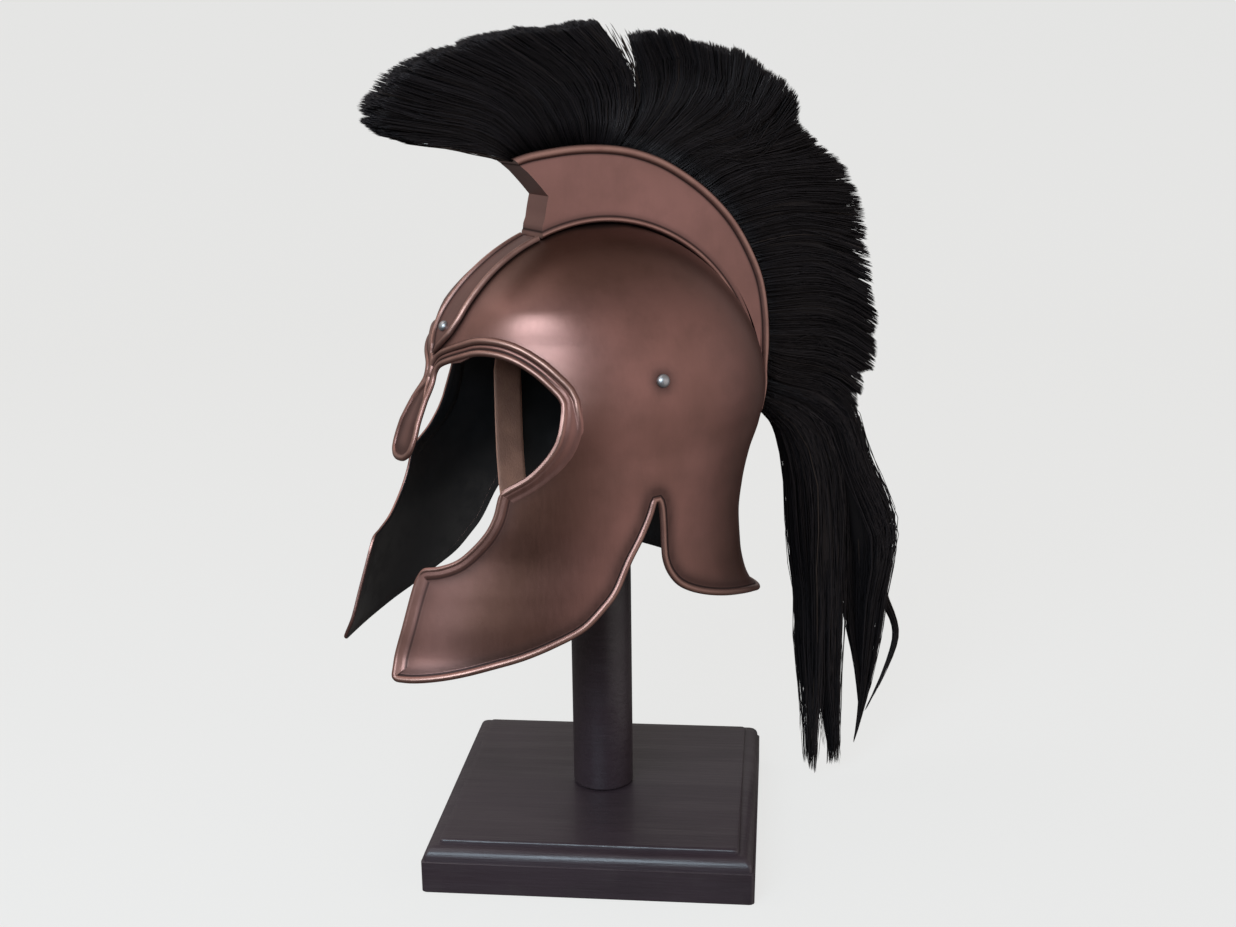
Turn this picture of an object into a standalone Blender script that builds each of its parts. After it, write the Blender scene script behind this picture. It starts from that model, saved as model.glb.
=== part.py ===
"""Greek crested helmet on a plain square stand, at its real size.

Metres, +Z up. The origin is the middle of the stand's underside. The helmet
faces -Y, its plane of symmetry is X = 0 and the wearer's left is +X.

Side outlines are lists of (forward, level) shares. Forward is a share of the
bowl's reach in front of the crown, or behind it where negative. Level is a share
of the bowl's height above its widest level, or of the skirt's height below it.
The crest and the plume are laid out by the angle from the vertical around the
bowl's centre, negative towards the front.
"""
import math

import bmesh
import bpy
from mathutils import Matrix, Vector

# Stand. The moulding runs from the board's edge up to its top as (inset, rise) shares,
# and the post's crown as (radius, drop) shares.
BASE_SIDE = 0.240
BASE_EDGE_HEIGHT = 0.0237
BASE_THICKNESS = 0.0365
BASE_MOULDING = 0.012
BASE_CORNER = 0.003
BASE_CORNER_STEPS = 2
BASE_TURN = math.radians(-35.5)
POST_DIAMETER = 0.046
POST_CROWN = 0.0045
POST_SIDES = 24
BASE_PROFILE = ((0.00, 0.00), (0.12, 0.00), (0.12, 0.10), (0.17, 0.36), (0.33, 0.58), (0.55, 0.73),
                (0.82, 0.78), (1.00, 0.78), (1.00, 1.00))
POST_PROFILE = ((0.00, 0.00), (0.35, 0.09), (0.65, 0.30), (0.88, 0.55), (1.00, 1.00))

# Bowl and skirt of the helmet
BOWL_LEVEL = 0.341
BOWL_HEIGHT = 0.1295
BOWL_FRONT = 0.132
BOWL_BACK = 0.132
BOWL_HALF_WIDTH = 0.104
BOWL_ROUNDNESS = 1.95
CROWN_Y = -0.005
SKIRT_HEIGHT = 0.176
WALL = 0.0015
NOSE_HALF_WIDTH = 0.0168

# Raised rims along the edges of the shell
RIM_WIDTH = 0.0065
BROW_RIM_WIDTH = 0.0105
NOSE_RIM_WIDTH = 0.0036
RIM_RAISE = 0.0012
RIM_SINK = 0.0005
RIM_SLACK = 0.04
BROW_RIM_END = 2

# Crest box over the crown
CREST_THICKNESS = 0.030
CREST_HEIGHT = 0.060
CREST_SHEET = 0.0015
CREST_UPPER_BEAD = 0.0055
CREST_LOWER_BEAD = 0.0045
CREST_BEAD_RAISE = 0.0012
CREST_BEAD_BEVEL = 0.0007
CREST_FRONT_WALL = 0.0021

# Strip down the forehead
STRIP_HALF_WIDTH = 0.0175
STRIP_THICKNESS = 0.0014
STRIP_BEAD_WIDTH = 0.0042
STRIP_BEAD_RAISE = 0.0022
STRIP_BEAD_LIMIT = 0.45
STRIP_BEAD_SLOPE = 0.25

# Rivets
BROW_RIVET_DIAMETER = 0.0078
SIDE_RIVET_DIAMETER = 0.0095
RIVET_SHANK = 0.0030
RIVET_HEAD = 0.0010
RIVET_DOME_SHARE = 0.36
RIVET_INNER_SHARE = 0.75
RIVET_SIDES = 10

# Chin strap
STRAP_WIDTH = 0.0235
STRAP_THICKNESS = 0.002
STRAP_TOP = 0.384
STRAP_LIFT_OFF = 0.352
STRAP_BOTTOM = 0.229
STRAP_TEMPLE_Y = -0.0225
STRAP_CHIN_Y = -0.041
STRAP_TAB_MARGIN = 0.006
STRAP_LEAN_POWER = 1.3
STRAP_LOOP_POWER = 4.2
STRAP_TEMPLE_STEPS = 6
STRAP_LOOP_STEPS = 12

# Plume
PLUME_REACH = 0.280
PLUME_THICKNESS = 0.044
PLUME_LOCK_WIDTH = 0.062
PLUME_SEAT = 0.0055
PLUME_BACKING_TOP = 0.0011
PLUME_ROOT_DEPTH = 0.0022
PLUME_FRONT_ANGLE = -60.0
PLUME_TAIL_ANGLE = 150.0
TAIL_THICKNESS = 0.050
TAIL_LOCK_WIDTH = 0.062
TAIL_LENGTH = 0.325

# Clearances
GAP = 0.0003
SEAT_GAP = 0.0005
STRAP_GAP = 0.0008

# Cross-sections of the shell from the brow down. Prow and nape are shares of the
# bowl's reach in front of and behind the crown, side is a share of its half width,
# widest is how far in front of the crown the section is widest, and the last two
# are the section's superellipse powers.
SECTION_COLUMNS = ("level", "prow", "nape", "side", "widest", "front_round", "back_round")
SECTIONS = (
    (0.600, 1.000, 1.000, 1.000, 0.000, 2.45, 2.30),
    (0.400, 1.000, 1.000, 1.000, 0.000, 2.00, 2.30),
    (0.240, 0.998, 1.000, 1.000, 0.020, 2.00, 2.30),
    (0.116, 1.046, 1.000, 1.000, 0.050, 2.05, 2.30),
    (0.000, 1.098, 1.000, 1.000, 0.076, 2.10, 2.25),
    (-0.108, 1.152, 0.970, 1.000, 0.114, 2.00, 2.20),
    (-0.216, 1.197, 0.902, 1.010, 0.150, 1.90, 2.20),
    (-0.347, 1.269, 0.850, 1.020, 0.190, 1.80, 2.20),
    (-0.489, 1.333, 0.822, 1.037, 0.220, 1.70, 2.20),
    (-0.631, 1.379, 0.832, 1.058, 0.240, 1.75, 2.20),
    (-0.744, 1.420, 0.867, 1.067, 0.260, 1.80, 2.20),
    (-0.847, 1.462, 0.939, 1.072, 0.265, 1.83, 2.20),
    (-0.926, 1.519, 1.045, 1.077, 0.265, 1.85, 2.20),
    (-1.000, 1.568, 1.120, 1.080, 0.265, 1.85, 2.20),
)
BROW_LEVEL = 0.355
SHELL_COLUMNS = 10
DOME_ROWS = 8
SKIRT_ROWS = 14

# Side outlines of the shell's edges
EYE_TOP = ((0.932, 0.308), (0.894, 0.349), (0.844, 0.379), (0.793, 0.385), (0.741, 0.373),
           (0.689, 0.343), (0.635, 0.294), (0.590, 0.240), (0.554, 0.190), (0.543, 0.158))
EYE_REAR = ((0.543, 0.158), (0.554, 0.097), (0.584, -0.004), (0.622, -0.061), (0.672, -0.109),
            (0.732, -0.152), (0.812, -0.190), (0.852, -0.210))
MOUTH = ((0.852, -0.210), (0.865, -0.244), (0.888, -0.303), (0.926, -0.362), (0.984, -0.422),
         (1.051, -0.474), (1.125, -0.503), (1.184, -0.515), (1.210, -0.533))
CHEEK_FRONT = ((1.210, -0.533), (1.241, -0.596), (1.285, -0.695), (1.350, -0.842), (1.398, -0.945))
CHEEK_LOWER = ((1.398, -0.945), (1.319, -0.944), (1.215, -0.932), (1.103, -0.913), (0.964, -0.885),
               (0.819, -0.856), (0.667, -0.815), (0.507, -0.762), (0.393, -0.691), (0.314, -0.627),
               (0.232, -0.519), (0.162, -0.443), (0.114, -0.384), (0.083, -0.338), (0.060, -0.295))
NECK_LOWER = ((0.060, -0.295), (0.044, -0.336), (0.040, -0.409), (0.040, -0.480), (0.033, -0.538),
              (0.003, -0.594), (-0.055, -0.647), (-0.143, -0.689), (-0.266, -0.728),
              (-0.420, -0.766), (-0.609, -0.807), (-0.768, -0.845), (-0.930, -0.890))
NECK_END = (-1.600, -0.930)
OUTSIDE_FRONT = 1.800
OUTSIDE_BELOW = -1.150
OUTSIDE_STEP = 0.050
BROW_OPEN_LEVEL = 0.330

# Front outline of the nose guard: share of its half width, level
NOSE_EDGE = ((0.00, -0.142), (0.55, -0.133), (0.90, -0.105), (0.98, -0.045), (0.84, 0.046),
             (0.66, 0.147), (0.49, 0.239), (0.60, 0.290), (0.95, 0.315), (1.60, 0.335))
NOSE_TOP = (2.40, 0.420)

# Crest: angle, height above the bowl and lift off the bowl as shares of its height
CREST_ROWS = (
    (-20.7, 1.000, 0.000), (-11.0, 0.950, 0.000), (-2.0, 0.915, 0.000), (7.0, 0.890, 0.000),
    (16.0, 0.850, 0.000), (25.0, 0.790, 0.000), (33.0, 0.740, 0.000), (41.6, 0.683, 0.000),
    (50.4, 0.610, 0.000), (59.8, 0.530, 0.000), (69.6, 0.410, 0.005), (78.5, 0.310, 0.015),
    (88.0, 0.230, 0.035), (98.7, 0.230, 0.095),
)
CREST_FRONT_ANGLE = CREST_ROWS[0][0]
CREST_REAR_ANGLE = CREST_ROWS[-1][0]
CREST_NOTCH_ANGLE = -14.8
CREST_NOTCH_SHARE = 0.458
CREST_STATIONS = 17

# Brow strip: angle and share of its half width
STRIP_ROWS = ((-21.3, 0.88), (-28.0, 0.85), (-38.0, 0.87), (-48.0, 0.94), (-56.0, 0.97),
              (-62.0, 0.80), (-65.5, 0.52), (-68.0, 0.28), (-69.4, 0.12))
STRIP_STATIONS = 10
BROW_RIVET_ANGLE = -60.7
SIDE_RIVET = (0.001, 0.236)

# Plume locks: root angle, lean at the root, tip angle, tip reach, width share
PLUME_FRONT_LOCKS = (
    (-12.0, -80.0, -38.5, 0.958, 0.50), (-10.0, -68.0, -34.5, 0.995, 0.55),
    (-7.0, -58.0, -29.5, 1.000, 0.60), (-3.0, -48.0, -23.5, 0.982, 0.62),
    (1.5, -38.0, -17.0, 0.970, 0.65), (6.0, -28.0, -10.5, 0.958, 0.65),
    (10.0, -18.0, -4.0, 0.953, 0.65), (13.5, -10.0, 2.0, 0.947, 0.55),
)
PLUME_TOP_LOCKS = (
    (18.0, 0.0, 8.0, 0.938, 0.55), (23.0, 10.0, 14.5, 0.962, 0.65), (29.0, 20.0, 21.5, 0.984, 0.68),
    (35.5, 32.0, 28.5, 0.994, 0.68), (42.0, 44.0, 35.5, 0.984, 0.66), (48.0, 54.0, 41.5, 0.952, 0.60),
    (53.0, 60.0, 47.0, 0.948, 0.60),
)
PLUME_BACK_LOCKS = (
    (58.0, 66.0, 54.0, 0.968, 0.66), (64.0, 73.0, 61.0, 0.966, 0.68), (70.5, 80.0, 68.0, 0.943, 0.68),
    (77.5, 87.0, 75.5, 0.930, 0.68), (84.5, 93.0, 83.0, 0.916, 0.68), (90.0, 97.0, 90.0, 0.896, 0.60),
)
PLUME_SPLITS = ((15.5, 5.0), (55.5, 50.5), (92.5, 95.0))

# Tail locks: points as (behind the bowl's centre, below its level, aside) shares of
# the tail's length, each with the share of the lock's width there
TAIL_LOCKS = (
    ((0.436, 0.034, 0.000, 0.23), (0.520, 0.075, 0.000, 0.48), (0.578, 0.134, 0.000, 0.73),
     (0.618, 0.235, 0.000, 0.85), (0.633, 0.370, 0.000, 0.90), (0.638, 0.480, 0.004, 0.84),
     (0.643, 0.560, 0.009, 0.77), (0.637, 0.680, 0.018, 0.77), (0.634, 0.791, 0.030, 0.70),
     (0.622, 0.890, 0.056, 0.70), (0.611, 0.972, 0.076, 0.56), (0.607, 1.022, 0.083, 0.16)),
    ((0.440, 0.008, 0.000, 0.26), (0.554, 0.046, 0.000, 0.55), (0.640, 0.089, 0.000, 0.74),
     (0.697, 0.165, 0.000, 0.74), (0.722, 0.262, 0.000, 0.76), (0.766, 0.350, 0.000, 0.90),
     (0.790, 0.436, 0.004, 0.98), (0.784, 0.520, 0.009, 0.82), (0.775, 0.600, 0.014, 0.68),
     (0.775, 0.700, 0.020, 0.56), (0.775, 0.790, 0.026, 0.47), (0.770, 0.875, 0.034, 0.34),
     (0.752, 0.945, 0.043, 0.16), (0.732, 0.994, 0.050, 0.06)),
    ((0.810, 0.550, 0.010, 0.24), (0.845, 0.620, 0.013, 0.12), (0.879, 0.687, 0.018, 0.08),
     (0.886, 0.732, 0.022, 0.08), (0.872, 0.779, 0.025, 0.07), (0.830, 0.850, 0.031, 0.06),
     (0.776, 0.920, 0.038, 0.05)),
)

# Stations along a crest lock, with its width and thickness there as shares
LOCK_STATIONS = (0.00, 0.20, 0.45, 0.72, 0.92, 1.00)
LOCK_WIDTHS = (0.50, 0.66, 0.92, 1.04, 0.90, 0.36)
LOCK_THICKNESSES = (0.50, 0.70, 1.00, 0.92, 0.62, 0.24)
LOCK_SIDES = 6


# Scene, collections and materials


def clear_scene():
    """Remove the objects of the start-up scene."""
    for thing in list(bpy.data.objects):
        bpy.data.objects.remove(thing, do_unlink=True)


def new_collection(name):
    """Add a collection to the scene."""
    collection = bpy.data.collections.new(name)
    bpy.context.scene.collection.children.link(collection)
    return collection


def material(name, colour, roughness, metallic):
    """Make a plain Principled material."""
    surface = bpy.data.materials.new(name)
    surface.use_nodes = True
    shader = surface.node_tree.nodes["Principled BSDF"]
    shader.inputs["Base Color"].default_value = (*colour, 1.0)
    shader.inputs["Roughness"].default_value = roughness
    shader.inputs["Metallic"].default_value = metallic
    return surface


def finish_part(part, surface):
    """Give a part its material and smooth shading."""
    part.data.materials.clear()
    part.data.materials.append(surface)
    part.data.shade_smooth()
    part.data.set_sharp_from_angle(angle=math.radians(35))


def as_cutter(cutter):
    """Mark an object as a cutter that only shapes other objects."""
    cutter.hide_render = True
    cutter.display_type = "WIRE"


def boolean(part, other, operation):
    """Add a Boolean modifier that joins, cuts or keeps what other covers."""
    step = part.modifiers.new(operation.lower() + "_" + other.name, "BOOLEAN")
    step.operation = operation
    step.object = other
    step.solver = "EXACT"


# Basic shapes


def object_from(bm, name, collection):
    """Turn a bmesh into an object in a collection."""
    mesh = bpy.data.meshes.new(name)
    bm.to_mesh(mesh)
    bm.free()
    thing = bpy.data.objects.new(name, mesh)
    collection.objects.link(thing)
    return thing


def loft(name, rings, collection, closed=True):
    """Skin a row of rings with the same number of points, and cap both ends."""
    bm = bmesh.new()
    rows = [[bm.verts.new(point) for point in ring] for ring in rings]
    count = len(rows[0])
    for lower, upper in zip(rows, rows[1:]):
        for i in range(count if closed else count - 1):
            j = (i + 1) % count
            bm.faces.new((lower[i], lower[j], upper[j], upper[i]))
    if closed:
        bm.faces.new(rows[0][::-1])
        bm.faces.new(rows[-1])
        bmesh.ops.recalc_face_normals(bm, faces=bm.faces)
    return object_from(bm, name, collection)


SIDE_VIEW = Matrix(((0, 0, 1, 0), (1, 0, 0, 0), (0, 1, 0, 0), (0, 0, 0, 1)))
FRONT_VIEW = Matrix(((1, 0, 0, 0), (0, 0, -1, 0), (0, 1, 0, 0), (0, 0, 0, 1)))


def prism(name, outline, half_depth, view, collection):
    """Extrude a flat outline, drawn in a side or front view, both ways."""
    curve = bpy.data.curves.new(name, "CURVE")
    curve.dimensions = "2D"
    curve.fill_mode = "BOTH"
    curve.extrude = half_depth
    spline = curve.splines.new("POLY")
    spline.points.add(len(outline) - 1)
    for point, (u, v) in zip(spline.points, outline):
        point.co = (u, v, 0.0, 1.0)
    spline.use_cyclic_u = True
    drawn = bpy.data.objects.new(name + "_outline", curve)
    drawn.matrix_world = view
    collection.objects.link(drawn)
    bpy.context.view_layer.update()
    evaluated = drawn.evaluated_get(bpy.context.evaluated_depsgraph_get())
    bm = bmesh.new()
    bm.from_mesh(bpy.data.meshes.new_from_object(evaluated))
    bmesh.ops.remove_doubles(bm, verts=bm.verts, dist=0.000001)
    bmesh.ops.recalc_face_normals(bm, faces=bm.faces)
    solid = object_from(bm, name, collection)
    solid.matrix_world = drawn.matrix_world
    bpy.data.objects.remove(drawn, do_unlink=True)
    return solid


def turned(name, profile, sides, collection):
    """Turn a profile of (radius, height) points, listed top to bottom, about Z."""
    bm = bmesh.new()
    points = [bm.verts.new((radius, 0.0, height)) for radius, height in profile]
    for upper, lower in zip(points, points[1:]):
        bm.edges.new((upper, lower))
    thing = object_from(bm, name, collection)
    screw = thing.modifiers.new("turn", "SCREW")
    screw.steps = sides
    screw.render_steps = sides
    screw.use_merge_vertices = True
    screw.merge_threshold = 0.00001
    return thing


def smooth_path(points, steps):
    """Points along a curve that passes through the given ones."""
    count = len(points)
    path = []
    for i in range(count - 1):
        before, start, end, after = (points[max(i - 1, 0)], points[i], points[i + 1],
                                     points[min(i + 2, count - 1)])
        for step in range(steps):
            t = step / steps
            path.append(tuple(
                0.5 * (2 * b + (c - a) * t + (2 * a - 5 * b + 4 * c - d) * t ** 2
                       + (3 * b - a - 3 * c + d) * t ** 3)
                for a, b, c, d in zip(before, start, end, after)))
    path.append(tuple(points[-1]))
    return path


def table_row(rows, key):
    """Values of a table between its rows, smoothly, for a key in the first column."""
    ordered = sorted(rows)
    key = min(max(key, ordered[0][0]), ordered[-1][0])
    i = max(k for k in range(len(ordered) - 1) if ordered[k][0] <= key)
    low, high = ordered[i], ordered[i + 1]
    span = high[0] - low[0]
    t = (key - low[0]) / span

    def slope(k, column):
        """Slope of a column at a row, zero at a turn so that nothing overshoots."""
        if k in (0, len(ordered) - 1):
            return 0.0 if k == 0 else (ordered[k][column] - ordered[k - 1][column]) / (
                ordered[k][0] - ordered[k - 1][0])
        left = (ordered[k][column] - ordered[k - 1][column]) / (ordered[k][0] - ordered[k - 1][0])
        right = (ordered[k + 1][column] - ordered[k][column]) / (ordered[k + 1][0] - ordered[k][0])
        return 0.0 if left * right <= 0 else 2 * left * right / (left + right)

    values = []
    for column in range(1, len(low)):
        rise = high[column] - low[column]
        first, last = slope(i, column) * span, slope(i + 1, column) * span
        values.append(low[column] + first * t + (3 * rise - 2 * first - last) * t ** 2
                      + (first + last - 2 * rise) * t ** 3)
    return values


# The shell's surface


def height_of(level):
    """Height of a level share."""
    return BOWL_LEVEL + level * (BOWL_HEIGHT if level > 0 else SKIRT_HEIGHT)


def level_of(height):
    """Level share of a height."""
    rise = height - BOWL_LEVEL
    return rise / (BOWL_HEIGHT if rise > 0 else SKIRT_HEIGHT)


def side_point(forward, level):
    """Place of a (forward, level) share in the side view, as (y, z)."""
    return CROWN_Y - forward * (BOWL_FRONT if forward > 0 else BOWL_BACK), height_of(level)


def section(level):
    """One horizontal cross-section of the shell's outer surface."""
    above = min(max(level, 0.0), 1.0)
    share = (1.0 - above ** BOWL_ROUNDNESS) ** (1.0 / BOWL_ROUNDNESS)
    row = dict(zip(SECTION_COLUMNS[1:], table_row(SECTIONS, level)))
    return {
        "front": CROWN_Y - BOWL_FRONT * share * row["prow"],
        "back": CROWN_Y + BOWL_BACK * share * row["nape"],
        "half": BOWL_HALF_WIDTH * share * row["side"],
        "widest": CROWN_Y - BOWL_FRONT * share * row["widest"],
        "front_round": row["front_round"],
        "back_round": row["back_round"],
    }


def field(point):
    """Negative inside the shell's outer surface, positive outside it."""
    x, y, z = point
    cut = section(level_of(z))
    ahead = y < cut["widest"]
    reach = cut["widest"] - cut["front"] if ahead else cut["back"] - cut["widest"]
    power = cut["front_round"] if ahead else cut["back_round"]
    return (abs(x) / cut["half"]) ** power + (abs(y - cut["widest"]) / reach) ** power - 1.0


def half_width_at(y, z):
    """Distance from the plane of symmetry to the surface at a side-view point."""
    cut = section(level_of(z))
    ahead = y < cut["widest"]
    reach = cut["widest"] - cut["front"] if ahead else cut["back"] - cut["widest"]
    power = cut["front_round"] if ahead else cut["back_round"]
    share = min(abs(y - cut["widest"]) / reach, 1.0)
    return cut["half"] * (1.0 - share ** power) ** (1.0 / power)


def normal_at(point):
    """Outward normal of the surface."""
    step = 0.0001
    slopes = []
    for axis in range(3):
        ahead, behind = list(point), list(point)
        ahead[axis] += step
        behind[axis] -= step
        slopes.append(field(ahead) - field(behind))
    return Vector(slopes).normalized()


def radius_at(angle, aside=0.0):
    """Distance from the bowl's centre to the surface along an angle from the vertical."""
    direction = polar_direction(angle)
    near, far = 0.5 * BOWL_HALF_WIDTH, 2.0 * BOWL_FRONT
    for _ in range(40):
        middle = 0.5 * (near + far)
        y, z = CROWN_Y + middle * direction[0], BOWL_LEVEL + middle * direction[1]
        inside = level_of(z) < 1.0 and field((aside, y, z)) < 0.0
        near, far = (middle, far) if inside else (near, middle)
    return near


def polar_direction(angle):
    """Unit (y, z) direction of an angle from the vertical, positive backwards."""
    return math.sin(math.radians(angle)), math.cos(math.radians(angle))


def polar_point(angle, radius):
    """Side-view point at an angle and a distance from the bowl's centre."""
    direction = polar_direction(angle)
    return CROWN_Y + radius * direction[0], BOWL_LEVEL + radius * direction[1]


def surface_levels():
    """Levels of the rings of the shell's mesh, from the crown down."""
    power = 2.0 / BOWL_ROUNDNESS
    brow_turn = math.acos(BROW_LEVEL ** (1.0 / power))
    dome = [math.cos(brow_turn * (i + 1) / (DOME_ROWS + 1)) ** power for i in range(DOME_ROWS)]
    top, bottom = height_of(BROW_LEVEL), height_of(-1.0)
    return dome + [level_of(top + (bottom - top) * i / SKIRT_ROWS) for i in range(SKIRT_ROWS + 1)]


def surface_ring(level):
    """Points of one ring, from the front round by the wearer's left and back again."""
    cut = section(level)
    ring = []
    for i in range(4 * SHELL_COLUMNS):
        turn = -0.5 * math.pi + 0.5 * math.pi * i / SHELL_COLUMNS
        ahead = math.sin(turn) < 0
        reach = cut["widest"] - cut["front"] if ahead else cut["back"] - cut["widest"]
        power = 2.0 / (cut["front_round"] if ahead else cut["back_round"])
        x = cut["half"] * math.copysign(abs(math.cos(turn)) ** power, math.cos(turn))
        y = cut["widest"] + reach * math.copysign(abs(math.sin(turn)) ** power, math.sin(turn))
        ring.append((x if i % (2 * SHELL_COLUMNS) else 0.0, y, height_of(level)))
    return ring


def shell_layer(name, inner, outer, collection):
    """A closed layer of the shell between two offsets from its outer surface."""
    bm = bmesh.new()
    rows = [[bm.verts.new(point) for point in surface_ring(level)] for level in surface_levels()]
    crown = bm.verts.new((0.0, CROWN_Y, BOWL_LEVEL + BOWL_HEIGHT))
    count = len(rows[0])
    for i in range(count):
        j = (i + 1) % count
        bm.faces.new((crown, rows[0][i], rows[0][j]))
        for upper, lower in zip(rows, rows[1:]):
            bm.faces.new((upper[i], lower[i], lower[j], upper[j]))
    layer = object_from(bm, name, collection)
    thicken = layer.modifiers.new("thickness", "SOLIDIFY")
    thicken.thickness = outer - inner
    thicken.offset = (outer + inner) / (outer - inner)
    thicken.use_even_offset = True
    return layer


# Edges and rims of the shell


def on_surface(y, z):
    """Point of the wearer's left side at a side-view point."""
    return Vector((half_width_at(y, z), y, z))


def rim_line(path, widths):
    """Side-view line that runs on the surface at the rim's width from an edge."""
    points = [on_surface(y, z) for y, z in path]
    line = []
    for i, point in enumerate(points):
        along = points[min(i + 1, len(points) - 1)] - points[max(i - 1, 0)]
        inward = normal_at(point).cross(along).normalized()
        moved = point + inward * widths[i]
        nearest = min((moved - other).length for other in points)
        if nearest > (1.0 - RIM_SLACK) * widths[i]:
            line.append((moved.y, moved.z))
    return line


def face_edge():
    """Edge from the brow round the eye, down the mouth and the cheek to its tip."""
    shares = []
    for run in (EYE_TOP, EYE_REAR, MOUTH, CHEEK_FRONT):
        shares += smooth_path(run, 2)[:-1]
    return [side_point(*share) for share in shares + [CHEEK_FRONT[-1]]]


def skirt_edge():
    """Edge from the cheek's tip to the notch and along the neck guard."""
    shares = smooth_path(CHEEK_LOWER, 2)[:-1] + smooth_path(NECK_LOWER, 2)
    return [side_point(*share) for share in shares]


def face_outline(line):
    """Close an edge of the face opening round the outside of the helmet's front."""
    top = side_point(OUTSIDE_FRONT, BROW_OPEN_LEVEL)
    start = (line[0][0], max(line[0][1], height_of(BROW_OPEN_LEVEL)))
    return [top, start] + line + [(line[-1][0], height_of(OUTSIDE_BELOW)),
                                  side_point(OUTSIDE_FRONT, OUTSIDE_BELOW)]


def skirt_outline(line):
    """Close a lower edge round the outside below the helmet."""
    reach = OUTSIDE_FRONT + OUTSIDE_STEP
    below = OUTSIDE_BELOW - OUTSIDE_STEP
    return ([(side_point(reach, 0.0)[0], line[0][1])] + line
            + [side_point(*NECK_END), side_point(NECK_END[0], below), side_point(reach, below)])


def nose_outline(inset):
    """Front-view outline of what stays of the shell between the eyes."""
    right = []
    for share, level in smooth_path(NOSE_EDGE, 2) + [NOSE_TOP]:
        narrow = max(share * NOSE_HALF_WIDTH - inset * min(share / 0.5, 1.0), 0.0)
        lift = inset if level < NOSE_EDGE[2][1] else 0.0
        right.append((narrow, height_of(level) + lift))
    left = [(-x, z) for x, z in right[:0:-1] if x > 0]
    return right + left


def face_cutter(name, line, nose_inset, cutters):
    """Prism of the face opening that leaves the nose guard."""
    depth = 2.0 * BOWL_HALF_WIDTH
    opening = prism(name, face_outline(line), depth, SIDE_VIEW, cutters)
    nose = prism(name + "_nose", nose_outline(nose_inset), 2.0 * depth, FRONT_VIEW, cutters)
    boolean(opening, nose, "DIFFERENCE")
    as_cutter(nose)
    as_cutter(opening)
    return opening


def rim_band(grown, cutters):
    """Raised layer of the shell that lies within the grown cutter."""
    band = shell_layer("raised_rims", -RIM_SINK, RIM_RAISE, cutters)
    boolean(band, grown, "INTERSECT")
    as_cutter(band)
    return band


def rivet_hole(name, frame, cutters):
    """Cylinder that clears a rivet's shank."""
    bm = bmesh.new()
    radius = 0.5 * RIVET_SHANK + GAP
    bmesh.ops.create_cone(bm, cap_ends=True, segments=12, radius1=radius, radius2=radius,
                          depth=8.0 * RIVET_SHANK)
    hole = object_from(bm, name, cutters)
    hole.matrix_world = frame
    as_cutter(hole)
    return hole


def make_shell(parts, cutters, holes, surface):
    """Bowl, brow, nose guard, cheek guards and neck guard, raised from one sheet."""
    shell = shell_layer("helmet_shell", -WALL, 0.0, parts)
    face, skirt = face_edge(), skirt_edge()
    eye_count = 2 * (len(EYE_TOP) - 1)
    face_widths = [BROW_RIM_WIDTH if i < eye_count - BROW_RIM_END else RIM_WIDTH for i in range(len(face))]
    skirt_widths = [RIM_WIDTH] * len(skirt)
    depth = 2.0 * BOWL_HALF_WIDTH
    grown = face_cutter("grown_face", rim_line(face, face_widths), NOSE_RIM_WIDTH, cutters)
    grown_skirt = prism("grown_skirt", skirt_outline(rim_line(skirt, skirt_widths)), 1.1 * depth,
                        SIDE_VIEW, cutters)
    as_cutter(grown_skirt)
    boolean(grown, grown_skirt, "UNION")
    boolean(shell, rim_band(grown, cutters), "UNION")
    boolean(shell, face_cutter("face_opening", face, 0.0, cutters), "DIFFERENCE")
    lower = prism("skirt_opening", skirt_outline(skirt), depth, SIDE_VIEW, cutters)
    as_cutter(lower)
    boolean(shell, lower, "DIFFERENCE")
    for hole in holes:
        boolean(shell, hole, "DIFFERENCE")
    finish_part(shell, surface)
    return shell


# Crest box


def crest_radius(angle, share):
    """Distance from the bowl's centre across the crest, 0 at its foot and 1 at its top."""
    height, lift = table_row(CREST_ROWS, angle)
    foot = radius_at(angle) + SEAT_GAP + lift * CREST_HEIGHT
    top = radius_at(angle) + height * CREST_HEIGHT
    return foot + share * (top - foot)


def crest_angles(start, end):
    """Evenly spaced angles along a stretch of the crest."""
    count = max(2, round(CREST_STATIONS * (end - start) / (CREST_REAR_ANGLE - CREST_FRONT_ANGLE)))
    return [start + (end - start) * i / count for i in range(count + 1)]


def crest_notch():
    """Side-view point of the notch in the crest's front."""
    return polar_point(CREST_NOTCH_ANGLE, crest_radius(CREST_NOTCH_ANGLE, CREST_NOTCH_SHARE))


def crest_band(name, start, end, inner, outer, half_depth, collection):
    """Curved bar in the crest between two radius functions of the angle."""
    angles = crest_angles(start, end)
    outline = ([polar_point(a, inner(a)) for a in angles]
               + [polar_point(a, outer(a)) for a in reversed(angles)])
    return prism(name, outline, half_depth, SIDE_VIEW, collection)


def crest_outline(foot_inset, top_reach, front_inset, rear_inset):
    """Side outline of the crest box, or of the channel inside it."""
    angles = crest_angles(CREST_FRONT_ANGLE, CREST_REAR_ANGLE - rear_inset)
    foot = [polar_point(a, crest_radius(a, 0.0) + foot_inset) for a in angles]
    top = [polar_point(a, crest_radius(a, 1.0) + top_reach) for a in reversed(angles)]
    notch = crest_notch()
    foot[0] = (foot[0][0] + front_inset, foot[0][1])
    top[-1] = (top[-1][0] + front_inset, top[-1][1])
    return foot + top + [(notch[0] + front_inset, notch[1])]


def degrees_along(length, angle):
    """Angle that a length spans along the crest's top at an angle."""
    return math.degrees(length / crest_radius(angle, 1.0))


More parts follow.
